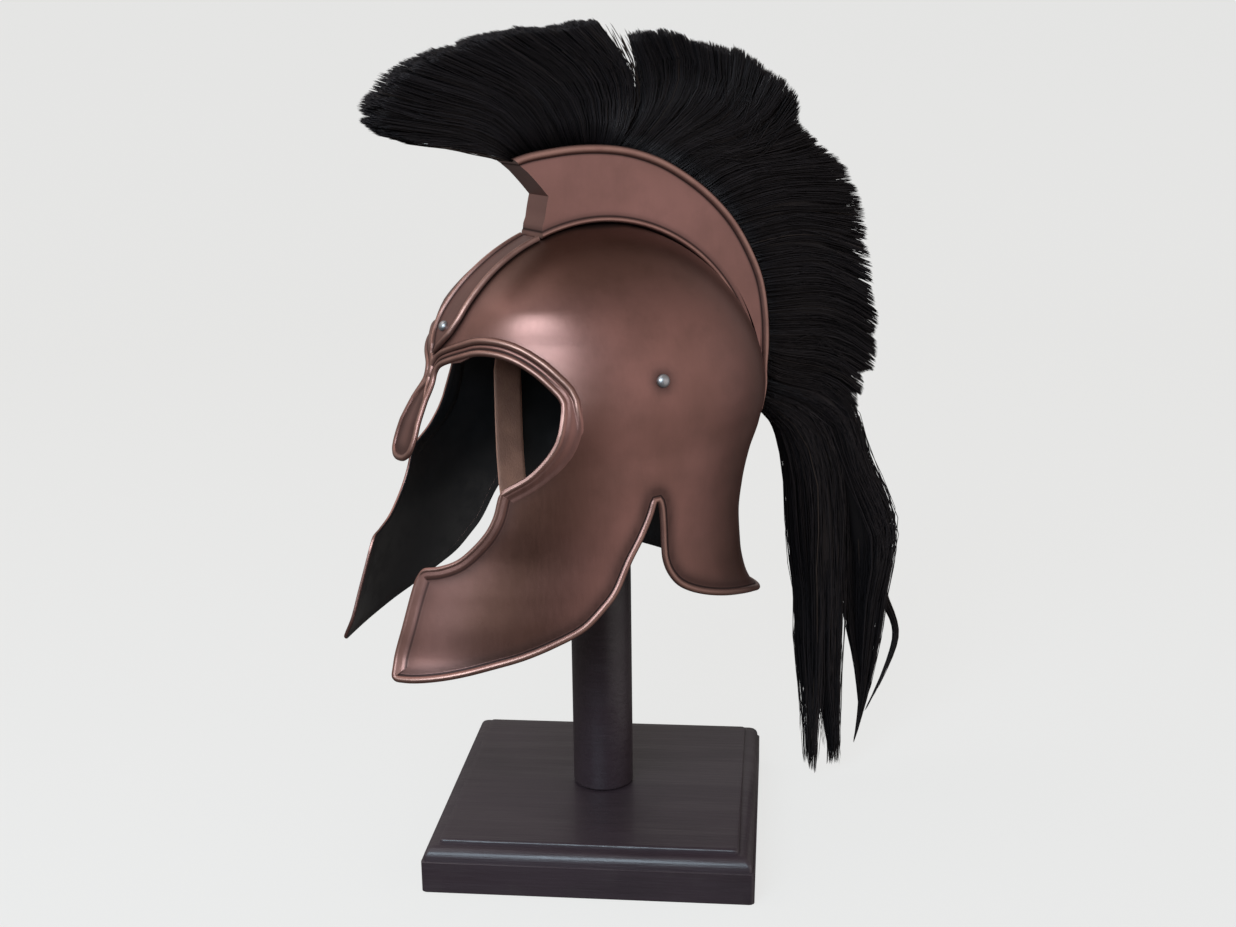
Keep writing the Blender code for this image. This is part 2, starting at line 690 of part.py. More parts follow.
def make_crest(parts, cutters, surface):
    """Folded sheet box that holds the plume, with a bead along both edges."""
    half = 0.5 * CREST_THICKNESS
    crest = prism("crest_box", crest_outline(0.0, 0.0, 0.0, 0.0), half, SIDE_VIEW, parts)
    rear = CREST_REAR_ANGLE - degrees_along(GAP, CREST_REAR_ANGLE)
    bead_half = half + CREST_BEAD_RAISE
    upper = crest_band("crest_upper_bead", CREST_FRONT_ANGLE + degrees_along(GAP, 0.0), rear,
                       lambda a: crest_radius(a, 1.0) - CREST_UPPER_BEAD,
                       lambda a: crest_radius(a, 1.0) + GAP, bead_half, cutters)
    lower = crest_band("crest_lower_bead", CREST_FRONT_ANGLE + degrees_along(CREST_SHEET, 0.0), rear,
                       lambda a: crest_radius(a, 0.0) + GAP,
                       lambda a: min(crest_radius(a, 0.0) + CREST_LOWER_BEAD,
                                     crest_radius(a, 1.0) - CREST_UPPER_BEAD - GAP),
                       bead_half, cutters)
    for bead in (upper, lower):
        edge = bead.modifiers.new("round", "BEVEL")
        edge.width = CREST_BEAD_BEVEL
        edge.segments = 1
        edge.limit_method = "ANGLE"
        edge.angle_limit = math.radians(60)
        as_cutter(bead)
        boolean(crest, bead, "UNION")
    channel = prism("crest_channel",
                    crest_outline(CREST_SHEET, CREST_UPPER_BEAD, CREST_FRONT_WALL,
                                  degrees_along(CREST_SHEET, CREST_REAR_ANGLE)),
                    half - CREST_SHEET, SIDE_VIEW, cutters)
    as_cutter(channel)
    boolean(crest, channel, "DIFFERENCE")
    finish_part(crest, surface)


# Brow strip and rivets


def strip_section(angle, share):
    """Cross-section of the brow strip, seated on the bowl at an angle."""
    half = share * STRIP_HALF_WIDTH
    bead = min(STRIP_BEAD_WIDTH, STRIP_BEAD_LIMIT * half)
    floor, top = SEAT_GAP + STRIP_THICKNESS, SEAT_GAP + STRIP_THICKNESS + STRIP_BEAD_RAISE
    inner = half - bead
    slope = STRIP_BEAD_SLOPE * bead
    profile = [(-half, SEAT_GAP), (-half, floor + 0.5 * STRIP_BEAD_RAISE), (-half + slope, top),
               (-inner - slope, top), (-inner, floor)]
    profile += [(inner * t, floor) for t in (-0.6, -0.2, 0.2, 0.6)]
    profile += [(inner, floor), (inner + slope, top), (half - slope, top),
                (half, floor + 0.5 * STRIP_BEAD_RAISE), (half, SEAT_GAP)]
    profile += [(half * t, SEAT_GAP) for t in (0.75, 0.5, 0.25, 0.0, -0.25, -0.5, -0.75)]
    ring = []
    for x, rise in profile:
        y, z = polar_point(angle, radius_at(angle, x) + rise)
        ring.append((x, y, z))
    return ring


def make_brow_strip(parts, hole, surface):
    """Recessed strip with raised edges from the crest down to the brow."""
    start, end = STRIP_ROWS[0][0], STRIP_ROWS[-1][0]
    rings = []
    for i in range(STRIP_STATIONS + 1):
        share = math.sin(0.5 * math.pi * i / STRIP_STATIONS)
        angle = start + (end - start) * share
        rings.append(strip_section(angle, table_row(STRIP_ROWS, angle)[0]))
    strip = loft("brow_strip", rings, parts)
    boolean(strip, hole, "DIFFERENCE")
    finish_part(strip, surface)


def normal_frame(point):
    """Frame at a surface point whose Z axis is the outward normal."""
    normal = normal_at(point)
    frame = normal.to_track_quat("Z", "Y").to_matrix().to_4x4()
    frame.translation = point
    return frame


def brow_rivet_frame():
    """Frame on the bowl under the brow rivet."""
    y, z = polar_point(BROW_RIVET_ANGLE, radius_at(BROW_RIVET_ANGLE))
    return normal_frame((0.0, y, z))


def side_rivet_frame(side):
    """Frame on the bowl under a side rivet, side 1 for the wearer's left."""
    y, z = side_point(*SIDE_RIVET)
    frame = normal_frame((half_width_at(y, z), y, z))
    mirror = Matrix.Scale(-1.0, 4, (1, 0, 0))
    return frame if side > 0 else mirror @ frame @ mirror


def make_rivet(name, diameter, seat, grip, frame, parts, surface):
    """Domed rivet with its shank through the sheet and a flat head inside."""
    radius, shank = 0.5 * diameter, 0.5 * RIVET_SHANK
    dome = RIVET_DOME_SHARE * diameter
    inner = RIVET_INNER_SHARE * radius
    arc = [(radius * math.sin(t), seat + GAP + dome * math.cos(t))
           for t in (i * math.pi / 8 for i in range(5))]
    profile = [(0.0, arc[0][1])] + arc[1:] + [
        (shank, seat + GAP), (shank, -grip), (inner, -grip), (inner, -grip - RIVET_HEAD),
        (0.0, -grip - RIVET_HEAD)]
    rivet = turned(name, profile, RIVET_SIDES, parts)
    rivet.matrix_world = frame
    finish_part(rivet, surface)


# Chin strap


def strap_centre_y(height):
    """The strap leans forward from the temple to the chin."""
    share = (STRAP_TOP - height) / (STRAP_TOP - STRAP_BOTTOM)
    return STRAP_TEMPLE_Y + (STRAP_CHIN_Y - STRAP_TEMPLE_Y) * min(max(share, 0.0), 1.0) ** STRAP_LEAN_POWER


def strap_section(x, height, tilt):
    """Section of the strap across its width at a point of its outer face."""
    centre = strap_centre_y(height)
    front, rear = centre - 0.5 * STRAP_WIDTH, centre + 0.5 * STRAP_WIDTH
    rivet_y, rivet_z = side_point(*SIDE_RIVET)
    tab_start = rivet_z - 2.0 * STRAP_TAB_MARGIN
    tab = min(max((height - tab_start) / STRAP_TAB_MARGIN, 0.0), 1.0)
    rear += tab * max(rivet_y + STRAP_TAB_MARGIN - rear, 0.0)
    inward = Vector((-math.cos(tilt), 0.0, math.sin(tilt))) * STRAP_THICKNESS
    ring = []
    for y in (front, 0.5 * (front + rear), rear):
        wall = half_width_at(y, height) - WALL - STRAP_GAP if height < height_of(1.0) else x
        ring.append(Vector((min(x, wall), y, height)))
    return ring + [point + inward for point in reversed(ring)]


def strap_half():
    """Sections of the strap from the wearer's left temple to the chin."""
    rings = []
    for i in range(STRAP_TEMPLE_STEPS):
        height = STRAP_TOP + (STRAP_LIFT_OFF - STRAP_TOP) * i / STRAP_TEMPLE_STEPS
        rings.append(strap_section(BOWL_HALF_WIDTH, height, 0.0))
    y = strap_centre_y(STRAP_LIFT_OFF)
    reach = half_width_at(y, STRAP_LIFT_OFF) - WALL - STRAP_GAP
    drop = STRAP_LIFT_OFF - STRAP_BOTTOM
    for i in range(STRAP_LOOP_STEPS):
        share = math.cos(0.5 * math.pi * i / STRAP_LOOP_STEPS)
        height = STRAP_BOTTOM + drop * share ** STRAP_LOOP_POWER
        tilt = math.atan2(reach, STRAP_LOOP_POWER * drop * share ** (STRAP_LOOP_POWER - 1.0))
        rings.append(strap_section(share * reach, height, tilt))
    return rings


def make_strap(parts, holes, surface):
    """Leather strap that hangs in a loop between the side rivets."""
    left = strap_half()
    low = Vector((0.0, 0.0, STRAP_THICKNESS))
    centre = strap_centre_y(STRAP_BOTTOM)
    edge = [Vector((0.0, centre + t * STRAP_WIDTH, STRAP_BOTTOM)) for t in (-0.5, 0.0, 0.5)]
    middle = edge + [point + low for point in reversed(edge)]
    right = [[Vector((-point.x, point.y, point.z)) for point in ring] for ring in reversed(left)]
    strap = loft("chin_strap", left + [middle] + right, parts)
    for hole in holes:
        boolean(strap, hole, "DIFFERENCE")
    finish_part(strap, surface)


# Plume


def lock(name, path, widths, thicknesses, collection):
    """One lock of hair, flattened across, that tapers to its tip."""
    rings = []
    for i, point in enumerate(path):
        along = (path[min(i + 1, len(path) - 1)] - path[max(i - 1, 0)]).normalized()
        across = along.cross(Vector((1.0, 0.0, 0.0))).normalized()
        ring = []
        for k in range(LOCK_SIDES):
            turn = 2.0 * math.pi * (k + 0.5) / LOCK_SIDES
            ring.append(point + across * (0.5 * widths[i] * math.cos(turn))
                        + Vector((0.5 * thicknesses[i] * math.sin(turn), 0.0, 0.0)))
        rings.append(ring)
    strand = loft(name, rings, collection)
    as_cutter(strand)
    return strand


def crest_lock(name, row, collection):
    """Lock that rises from the crest and leans out to its tip."""
    root_angle, lean, tip_angle, tip_reach, width = row
    y, z = polar_point(root_angle, crest_radius(root_angle, 1.0) - PLUME_ROOT_DEPTH)
    root = Vector((0.0, y, z))
    y, z = polar_point(tip_angle, tip_reach * PLUME_REACH)
    tip = Vector((0.0, y, z))
    direction = polar_direction(lean)
    bend = root + Vector((0.0, *direction)) * (0.5 * (tip - root).length)
    path = [root * (1 - t) ** 2 + bend * (2 * t * (1 - t)) + tip * t ** 2 for t in LOCK_STATIONS]
    widths = [width * share * PLUME_LOCK_WIDTH for share in LOCK_WIDTHS]
    thicknesses = [share * PLUME_THICKNESS for share in LOCK_THICKNESSES]
    return lock(name, path, widths, thicknesses, collection)


def tail_origin():
    """Side-view point that the tail's shares start from, so that its first point is on the crest."""
    behind, below = TAIL_LOCKS[0][0][:2]
    root_angle = math.degrees(math.atan2(behind, -below))
    y, z = polar_point(root_angle, crest_radius(root_angle, 1.0) - PLUME_ROOT_DEPTH)
    return y - behind * TAIL_LENGTH, z + below * TAIL_LENGTH


def tail_lock(name, rows, collection):
    """Lock of the hanging tail, through its own points."""
    path, widths, thicknesses = [], [], []
    start_y, start_z = tail_origin()
    for behind, below, aside, width in smooth_path(rows, 1):
        path.append(Vector((aside * TAIL_LENGTH, start_y + behind * TAIL_LENGTH,
                            start_z - below * TAIL_LENGTH)))
        widths.append(width * TAIL_LOCK_WIDTH)
        thicknesses.append(min(width, 0.9) * TAIL_THICKNESS)
    return lock(name, path, widths, thicknesses, collection)


def split_line(index, gap_side):
    """Ends of the line that parts two stretches of the plume, half a gap to one side."""
    root_angle, tip_angle = PLUME_SPLITS[index]
    half = gap_side * 0.5 * degrees_along(2.0 * GAP, 0.0)
    inner = polar_point(root_angle + half, 0.8 * crest_radius(root_angle, 0.0))
    outer = polar_point(tip_angle + half, 1.5 * PLUME_REACH)
    return inner, outer


def plume_region(name, index, cutters):
    """Prism that holds one stretch of the plume, between its split lines."""
    near, far, below = 0.6 * PLUME_REACH, 1.5 * PLUME_REACH, PLUME_REACH + TAIL_LENGTH
    first = ([polar_point(PLUME_FRONT_ANGLE, near), polar_point(PLUME_FRONT_ANGLE, far)]
             if index == 0 else list(split_line(index - 1, 1)))
    last = ([polar_point(PLUME_TAIL_ANGLE, near), polar_point(PLUME_TAIL_ANGLE, below)]
            if index == len(PLUME_SPLITS) else list(split_line(index, -1)))
    region = prism(name, [first[0], first[1], last[1], last[0]], BOWL_HALF_WIDTH, SIDE_VIEW, cutters)
    as_cutter(region)
    return region


def crest_keep_out(cutters):
    """Space of the crest's sheets, with the channel between them left free."""
    solid = prism("crest_keep_out", crest_outline(-GAP, 2.0 * GAP, -3.0 * GAP, -0.2),
                  CREST_THICKNESS, SIDE_VIEW, cutters)
    free = prism("crest_free_channel",
                 crest_outline(CREST_SHEET + GAP, CREST_UPPER_BEAD, CREST_FRONT_WALL + 2.0 * GAP,
                               degrees_along(CREST_SHEET + GAP, CREST_REAR_ANGLE)),
                 0.5 * CREST_THICKNESS - CREST_SHEET - GAP, SIDE_VIEW, cutters)
    boolean(solid, free, "DIFFERENCE")
    as_cutter(free)
    as_cutter(solid)
    return solid


def make_plume_part(name, locks, start, end, region, keep_out, parts, surface):
    """Backing in the crest's channel with its locks fused to it."""
    half = 0.5 * CREST_THICKNESS - CREST_SHEET - GAP
    plume = crest_band(name, start, end, lambda a: crest_radius(a, 1.0) - PLUME_SEAT,
                       lambda a: crest_radius(a, 1.0) - PLUME_BACKING_TOP, half, parts)
    for strand in locks:
        boolean(plume, strand, "UNION")
    boolean(plume, region, "INTERSECT")
    boolean(plume, keep_out, "DIFFERENCE")
    finish_part(plume, surface)


def make_plume(parts, cutters, surface):
    """Brush of black hair in three stretches, and its hanging tail."""
    keep_out = crest_keep_out(cutters)
    front = CREST_FRONT_ANGLE + degrees_along(3.0 * CREST_SHEET, 0.0)
    rear = CREST_REAR_ANGLE - degrees_along(CREST_SHEET + 2.0 * GAP, CREST_REAR_ANGLE)
    ends = [front] + [root for root, _ in PLUME_SPLITS] + [rear]
    names = ("plume_front", "plume_top", "plume_back", "plume_tail")
    tables = (PLUME_FRONT_LOCKS, PLUME_TOP_LOCKS, PLUME_BACK_LOCKS, TAIL_LOCKS)
    for index, (name, table) in enumerate(zip(names, tables)):
        maker = tail_lock if name == "plume_tail" else crest_lock
        locks = [maker(f"{name}_lock_{i + 1}", row, cutters) for i, row in enumerate(table)]
        region = plume_region(name + "_region", index, cutters)
        make_plume_part(name, locks, ends[index], ends[index + 1], region, keep_out, parts, surface)


# Stand


def rounded_square(half, radius, height):
    """Points of a square with rounded corners at a height."""
    ring = []
    for corner in range(4):
        turn = 0.5 * math.pi * corner
        centre = Matrix.Rotation(turn, 3, "Z") @ Vector((half - radius, half - radius, height))
        for step in range(BASE_CORNER_STEPS + 1):
            t = turn + 0.5 * math.pi * step / BASE_CORNER_STEPS
            ring.append(centre + Vector((radius * math.cos(t), radius * math.sin(t), 0.0)))
    return ring


def make_base(parts, surface):
    """Square board whose upper edge has a round moulding between two small steps."""
    rise = BASE_THICKNESS - BASE_EDGE_HEIGHT
    rings = [rounded_square(0.5 * BASE_SIDE, BASE_CORNER, 0.0)]
    rings += [rounded_square(0.5 * BASE_SIDE - inset * BASE_MOULDING, BASE_CORNER,
                             BASE_EDGE_HEIGHT + lift * rise) for inset, lift in BASE_PROFILE]
    base = loft("stand_base", rings, parts)
    base.rotation_euler.z = BASE_TURN
    finish_part(base, surface)


def make_post(parts, surface):
    """Round post from the base up to the inside of the crown."""
    radius = 0.5 * POST_DIAMETER
    top = BOWL_LEVEL + BOWL_HEIGHT - WALL - SEAT_GAP - GAP
    foot = BASE_THICKNESS + GAP
    profile = [(radius * share, top - drop * POST_CROWN) for share, drop in POST_PROFILE]
    profile += [(radius, foot), (0.0, foot)]
    post = turned("stand_post", profile, POST_SIDES, parts)
    finish_part(post, surface)


def main():
    """Build the helmet and its stand."""
    clear_scene()
    parts = new_collection("greek_crested_helmet")
    cutters = new_collection("cutters")
    copper = material("antiqued_copper_steel", (0.16, 0.07, 0.06), 0.38, 0.85)
    copper_sheet = material("crest_copper_steel", (0.22, 0.10, 0.09), 0.42, 0.85)
    steel = material("rivet_steel", (0.35, 0.34, 0.34), 0.32, 1.0)
    hair = material("black_hair", (0.010, 0.009, 0.010), 0.55, 0.0)
    leather = material("brown_leather", (0.17, 0.10, 0.08), 0.70, 0.0)
    wood = material("black_painted_wood", (0.010, 0.010, 0.011), 0.35, 0.0)

    side_holes = [rivet_hole("side_hole_" + name, side_rivet_frame(side), cutters)
                  for name, side in (("left", 1), ("right", -1))]
    brow_hole = rivet_hole("brow_hole", brow_rivet_frame(), cutters)
    make_shell(parts, cutters, side_holes + [brow_hole], copper)
    make_crest(parts, cutters, copper_sheet)
    make_brow_strip(parts, brow_hole, copper)
    make_rivet("brow_rivet", BROW_RIVET_DIAMETER, SEAT_GAP + STRIP_THICKNESS,
               WALL + 3.0 * GAP, brow_rivet_frame(), parts, steel)
    grip = WALL + STRAP_GAP + STRAP_THICKNESS + 2.0 * GAP
    make_rivet("side_rivet_left", SIDE_RIVET_DIAMETER, 0.0, grip, side_rivet_frame(1), parts, steel)
    make_rivet("side_rivet_right", SIDE_RIVET_DIAMETER, 0.0, grip, side_rivet_frame(-1), parts, steel)
    make_strap(parts, side_holes, leather)
    make_plume(parts, cutters, hair)
    make_post(parts, wood)
    make_base(parts, wood)
    bpy.context.view_layer.update()


main()
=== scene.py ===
"""Looks of a greek crested helmet on a plain stand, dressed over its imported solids.

Metres, +Z up. The helmet faces -Y and the wearer's left is +X. Side outlines are
(forward, level) shares, as in the solids: forward of the crown as a share of the
bowl's reach, level as a share of the bowl's height above its widest level or of the
skirt's height below it.
"""
import math

import bmesh
import bpy
import numpy as np
from mathutils import Matrix, Vector
from mathutils.kdtree import KDTree


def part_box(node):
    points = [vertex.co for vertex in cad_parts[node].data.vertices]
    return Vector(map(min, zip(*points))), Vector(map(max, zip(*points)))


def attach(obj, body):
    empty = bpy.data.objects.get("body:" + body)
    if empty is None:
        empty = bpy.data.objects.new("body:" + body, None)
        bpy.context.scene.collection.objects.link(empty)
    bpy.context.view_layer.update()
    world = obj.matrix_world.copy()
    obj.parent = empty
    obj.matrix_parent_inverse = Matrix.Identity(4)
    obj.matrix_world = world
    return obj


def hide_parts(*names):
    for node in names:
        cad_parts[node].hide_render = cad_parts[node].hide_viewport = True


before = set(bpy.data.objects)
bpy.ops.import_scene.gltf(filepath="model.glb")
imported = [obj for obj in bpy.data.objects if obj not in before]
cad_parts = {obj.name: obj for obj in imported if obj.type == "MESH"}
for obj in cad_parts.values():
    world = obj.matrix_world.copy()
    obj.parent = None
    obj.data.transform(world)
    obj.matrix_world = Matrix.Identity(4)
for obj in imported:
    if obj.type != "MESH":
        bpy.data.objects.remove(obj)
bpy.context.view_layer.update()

bl_info = {
    "name": "Greek crested helmet",
    "version": (1, 0, 0),
    "blender": (4, 5, 0),
    "location": "3D View > Sidebar > Helmet",
    "description": "Dresses the solids of a greek crested helmet and its stand",
    "category": "Object",
}

# Sizes that follow the solids
BASE_SIDE = 0.240
BASE_EDGE_HEIGHT = 0.0237
BASE_THICKNESS = 0.0365
BASE_MOULDING = 0.012
BASE_CORNER = 0.003
BASE_TURN = math.radians(-35.5)
POST_DIAMETER = 0.046
BOWL_LEVEL = 0.341
BOWL_HEIGHT = 0.1295
BOWL_REACH = 0.132
BOWL_HALF_WIDTH = 0.104
BOWL_ROUNDNESS = 1.95
CROWN_Y = -0.005
SKIRT_HEIGHT = 0.176
WALL = 0.0015
NOSE_HALF_WIDTH = 0.0168
CREST_THICKNESS = 0.030
CREST_HEIGHT = 0.060
SEAT_GAP = 0.0005
STRIP_HALF_WIDTH = 0.0175
STRIP_THICKNESS = 0.0014
STRAP_WIDTH = 0.0235
STRAP_THICKNESS = 0.002
STRAP_TOP = 0.384
STRAP_LIFT_OFF = 0.352
STRAP_BOTTOM = 0.229
STRAP_TEMPLE_Y = -0.0225
STRAP_CHIN_Y = -0.041
STRAP_TAB_MARGIN = 0.006
STRAP_GAP = 0.0008
STRAP_LEAN_POWER = 1.3
STRAP_LOOP_POWER = 4.2
PLUME_REACH = 0.280
PLUME_THICKNESS = 0.044
TAIL_LENGTH = 0.325
TAIL_THICKNESS = 0.050
TAIL_LOCK_WIDTH = 0.062

# Cross-sections of the shell: level, prow, nape, side, widest, front and back powers
SECTIONS = ((0.6, 1.0, 1.0, 1.0, 0.0, 2.45, 2.3), (0.4, 1.0, 1.0, 1.0, 0.0, 2.0, 2.3),
    (0.24, 0.998, 1.0, 1.0, 0.02, 2.0, 2.3), (0.116, 1.046, 1.0, 1.0, 0.05, 2.05, 2.3),
    (0.0, 1.098, 1.0, 1.0, 0.076, 2.1, 2.25), (-0.108, 1.152, 0.97, 1.0, 0.114, 2.0, 2.2),
    (-0.216, 1.197, 0.902, 1.01, 0.15, 1.9, 2.2), (-0.347, 1.269, 0.85, 1.02, 0.19, 1.8, 2.2),
    (-0.489, 1.333, 0.822, 1.037, 0.22, 1.7, 2.2), (-0.631, 1.379, 0.832, 1.058, 0.24, 1.75, 2.2),
    (-0.744, 1.42, 0.867, 1.067, 0.26, 1.8, 2.2), (-0.847, 1.462, 0.939, 1.072, 0.265, 1.83, 2.2),
    (-0.926, 1.519, 1.045, 1.077, 0.265, 1.85, 2.2), (-1.0, 1.568, 1.12, 1.08, 0.265, 1.85, 2.2))

# Side outlines of the shell's edges
BROW = ((0.894, 0.349), (0.844, 0.379), (0.793, 0.385), (0.741, 0.373), (0.689, 0.343), (0.635, 0.294),
    (0.59, 0.24), (0.554, 0.19), (0.543, 0.158))
EYE_REAR = ((0.543, 0.158), (0.554, 0.097), (0.584, -0.004), (0.622, -0.061), (0.672, -0.109),
    (0.732, -0.152), (0.812, -0.19), (0.852, -0.21))
MOUTH = ((0.852, -0.21), (0.865, -0.244), (0.888, -0.303), (0.926, -0.362), (0.984, -0.422),
    (1.051, -0.474), (1.125, -0.503), (1.184, -0.515), (1.21, -0.533))
CHEEK_FRONT = ((1.210, -0.533), (1.241, -0.596), (1.285, -0.695), (1.350, -0.842), (1.398, -0.945))
CHEEK_LOWER = ((1.398, -0.945), (1.319, -0.944), (1.215, -0.932), (1.103, -0.913), (0.964, -0.885),
    (0.819, -0.856), (0.667, -0.815), (0.507, -0.762), (0.393, -0.691), (0.314, -0.627), (0.232, -0.519),
    (0.162, -0.443), (0.114, -0.384), (0.083, -0.338), (0.066, -0.304))
NOTCH_TIP = ((0.066, -0.304), (0.060, -0.295), (0.053, -0.304))
NECK_LOWER = ((0.053, -0.304), (0.044, -0.336), (0.04, -0.409), (0.04, -0.48), (0.033, -0.538),
    (0.003, -0.594), (-0.055, -0.647), (-0.143, -0.689), (-0.266, -0.728), (-0.42, -0.766),
    (-0.609, -0.807), (-0.768, -0.845), (-0.93, -0.89), (-1.079, -0.93))
NOSE_EDGE = ((0.0, -0.142), (0.3, -0.14), (0.6, -0.131), (0.9, -0.103), (0.98, -0.045), (0.84, 0.046),
    (0.66, 0.147), (0.49, 0.239), (0.6, 0.29), (0.95, 0.318))
SIDE_RIVET = (0.001, 0.236)
BROW_RIVET_ANGLE = -60.7

# Crest: angle, height above the bowl and lift off it as shares of its height
CREST_ROWS = ((-20.7, 1.0, 0.0), (-11.0, 0.95, 0.0), (-2.0, 0.915, 0.0), (7.0, 0.89, 0.0),
    (16.0, 0.85, 0.0), (25.0, 0.79, 0.0), (33.0, 0.74, 0.0), (41.6, 0.683, 0.0), (50.4, 0.61, 0.0),
    (59.8, 0.53, 0.0), (69.6, 0.41, 0.005), (78.5, 0.31, 0.015), (88.0, 0.23, 0.035), (98.7, 0.23, 0.095))
CREST_NOTCH = (-14.8, 0.458)
STRIP_ROWS = ((-21.3, 0.88), (-28.0, 0.85), (-38.0, 0.87), (-48.0, 0.94), (-56.0, 0.97), (-62.0, 0.8),
    (-65.5, 0.52), (-68.0, 0.28), (-69.4, 0.12))

# Flow of the brush: root angle, lean at the root, tip angle, tip reach, lean at the tip
FRONT_FLOW = ((-20.7, -70.0, -35.0, 0.82, -84.0), (-20.2, -66.0, -38.4, 0.89, -82.0),
    (-19.5, -60.0, -39.2, 0.945, -78.0), (-18.0, -48.0, -38.0, 0.972, -74.0),
    (-16.0, -38.0, -35.0, 0.984, -71.0), (-13.0, -30.0, -31.0, 0.994, -69.0),
    (-10.0, -26.0, -27.0, 0.985, -67.0), (-6.0, -18.0, -22.5, 0.973, -66.0),
    (-3.0, -6.0, -18.5, 0.97, -65.0), (-1.0, 6.0, -14.5, 0.962, -64.0), (1.0, 18.0, -10.0, 0.955, -61.0),
    (2.6, 29.0, -6.0, 0.947, -56.0), (4.0, 38.0, -2.2, 0.958, -50.0), (5.4, 45.0, 2.0, 0.954, -44.0))
TOP_FLOW = ((5.9, 46.0, 7.4, 0.928, -27.0), (7.5, 48.0, 9.8, 0.942, -38.0), (9.5, 50.0, 13.0, 0.957, -40.0),
    (11.5, 50.0, 17.0, 0.953, -33.0), (13.5, 50.0, 21.5, 0.962, -20.0), (15.0, 51.0, 25.5, 0.985, -3.0),
    (17.0, 52.0, 30.0, 0.989, 11.0), (19.5, 53.0, 34.5, 0.989, 23.0), (22.0, 54.0, 38.0, 0.988, 34.0),
    (24.0, 56.0, 40.6, 0.958, 46.0), (24.8, 56.0, 41.8, 0.945, 66.0), (27.5, 59.0, 45.0, 0.937, 74.0),
    (31.0, 62.0, 49.8, 0.948, 82.0))
BACK_FLOW = ((31.4, 63.0, 50.3, 0.952, 83.0), (34.5, 68.0, 54.5, 0.969, 89.0),
    (38.5, 73.0, 58.5, 0.963, 94.0), (42.5, 77.0, 62.0, 0.96, 98.0), (46.5, 80.0, 65.5, 0.943, 102.0),
    (50.5, 82.0, 69.0, 0.924, 108.0), (54.5, 84.0, 73.0, 0.92, 114.0), (58.5, 86.0, 76.5, 0.916, 119.0),
    (62.5, 88.0, 79.5, 0.911, 122.0), (66.5, 91.0, 82.5, 0.918, 124.0), (70.5, 95.0, 85.5, 0.914, 126.0),
    (74.5, 99.0, 88.5, 0.904, 128.0), (78.5, 105.0, 91.3, 0.902, 130.0), (79.3, 107.0, 91.2, 0.85, 130.0),
    (80.5, 110.0, 93.9, 0.868, 131.0), (84.0, 120.0, 97.0, 0.85, 136.0), (87.0, 126.0, 101.0, 0.84, 142.0))

# Tail locks: behind the bowl's centre, below its level and aside as shares of the
# tail's length, then the share of the lock's width there
TAIL_LOCKS = (((0.436, 0.034, 0.0, 0.23), (0.52, 0.075, 0.0, 0.48), (0.578, 0.134, 0.0, 0.73),
    (0.618, 0.235, 0.0, 0.85), (0.633, 0.37, 0.0, 0.9), (0.638, 0.48, 0.004, 0.84),
    (0.643, 0.56, 0.009, 0.77), (0.637, 0.68, 0.018, 0.77), (0.634, 0.791, 0.03, 0.7),
    (0.622, 0.89, 0.056, 0.72), (0.611, 0.972, 0.076, 0.76), (0.607, 1.02, 0.083, 0.72)),
    ((0.44, 0.008, 0.0, 0.26), (0.554, 0.046, 0.0, 0.55), (0.64, 0.089, 0.0, 0.74),
    (0.697, 0.165, 0.0, 0.74), (0.722, 0.262, 0.0, 0.76), (0.766, 0.35, 0.0, 0.9),
    (0.79, 0.436, 0.004, 0.98), (0.784, 0.52, 0.009, 0.82), (0.775, 0.6, 0.014, 0.68),
    (0.775, 0.7, 0.02, 0.56), (0.775, 0.79, 0.026, 0.47), (0.77, 0.875, 0.034, 0.34),
    (0.752, 0.945, 0.043, 0.16), (0.732, 0.994, 0.05, 0.06)), ((0.81, 0.55, 0.01, 0.24),
    (0.845, 0.62, 0.013, 0.12), (0.879, 0.687, 0.018, 0.08), (0.886, 0.732, 0.022, 0.08),
    (0.872, 0.779, 0.025, 0.07), (0.83, 0.85, 0.031, 0.06), (0.776, 0.92, 0.038, 0.05)))

# Brown patches, partly patina and partly painted shade, on the cheeks, the neck guard and above
# the rear rim: forward, level, reach, strength
PATINA_AND_SHADE_PATCHES = ((0.45, 0.06, 0.2, 0.38), (0.56, -0.12, 0.22, 0.45), (0.67, -0.3, 0.22, 0.52),
    (0.78, -0.49, 0.23, 0.56), (0.89, -0.68, 0.23, 0.52), (0.98, -0.84, 0.2, 0.36),
    (-0.6, -0.66, 0.24, 0.6), (-0.35, 0.1, 0.26, 0.25))
# Where the shade under the crest begins and is full, as level shares of the crown
CROWN_SHADE = (0.968, 0.984)
# Painted shade over the crown under the plume: levels where it begins and is full, and its strength
CROWN_SHADE_PATCH = (0.52, 0.92, 0.75)
# Dark brown of the patches, partly patina and partly painted shade
PATINA_AND_SHADE_BROWN = (0.066, 0.026, 0.013)

# Camera as fitted to the photograph's view
CAMERA_PLACE = (1.005394, -0.555432, 0.588117)
CAMERA_RIGHT = (0.49703, 0.86765, -0.01191)
CAMERA_UP = (-0.21152, 0.13446, 0.96808)
CAMERA_AHEAD = (-0.84155, 0.47865, -0.25036)
CAMERA_LENS = 46.5
CAMERA_SENSOR = 36.0

FLIP = np.array((-1.0, 1.0, 1.0))


# The shell's surface


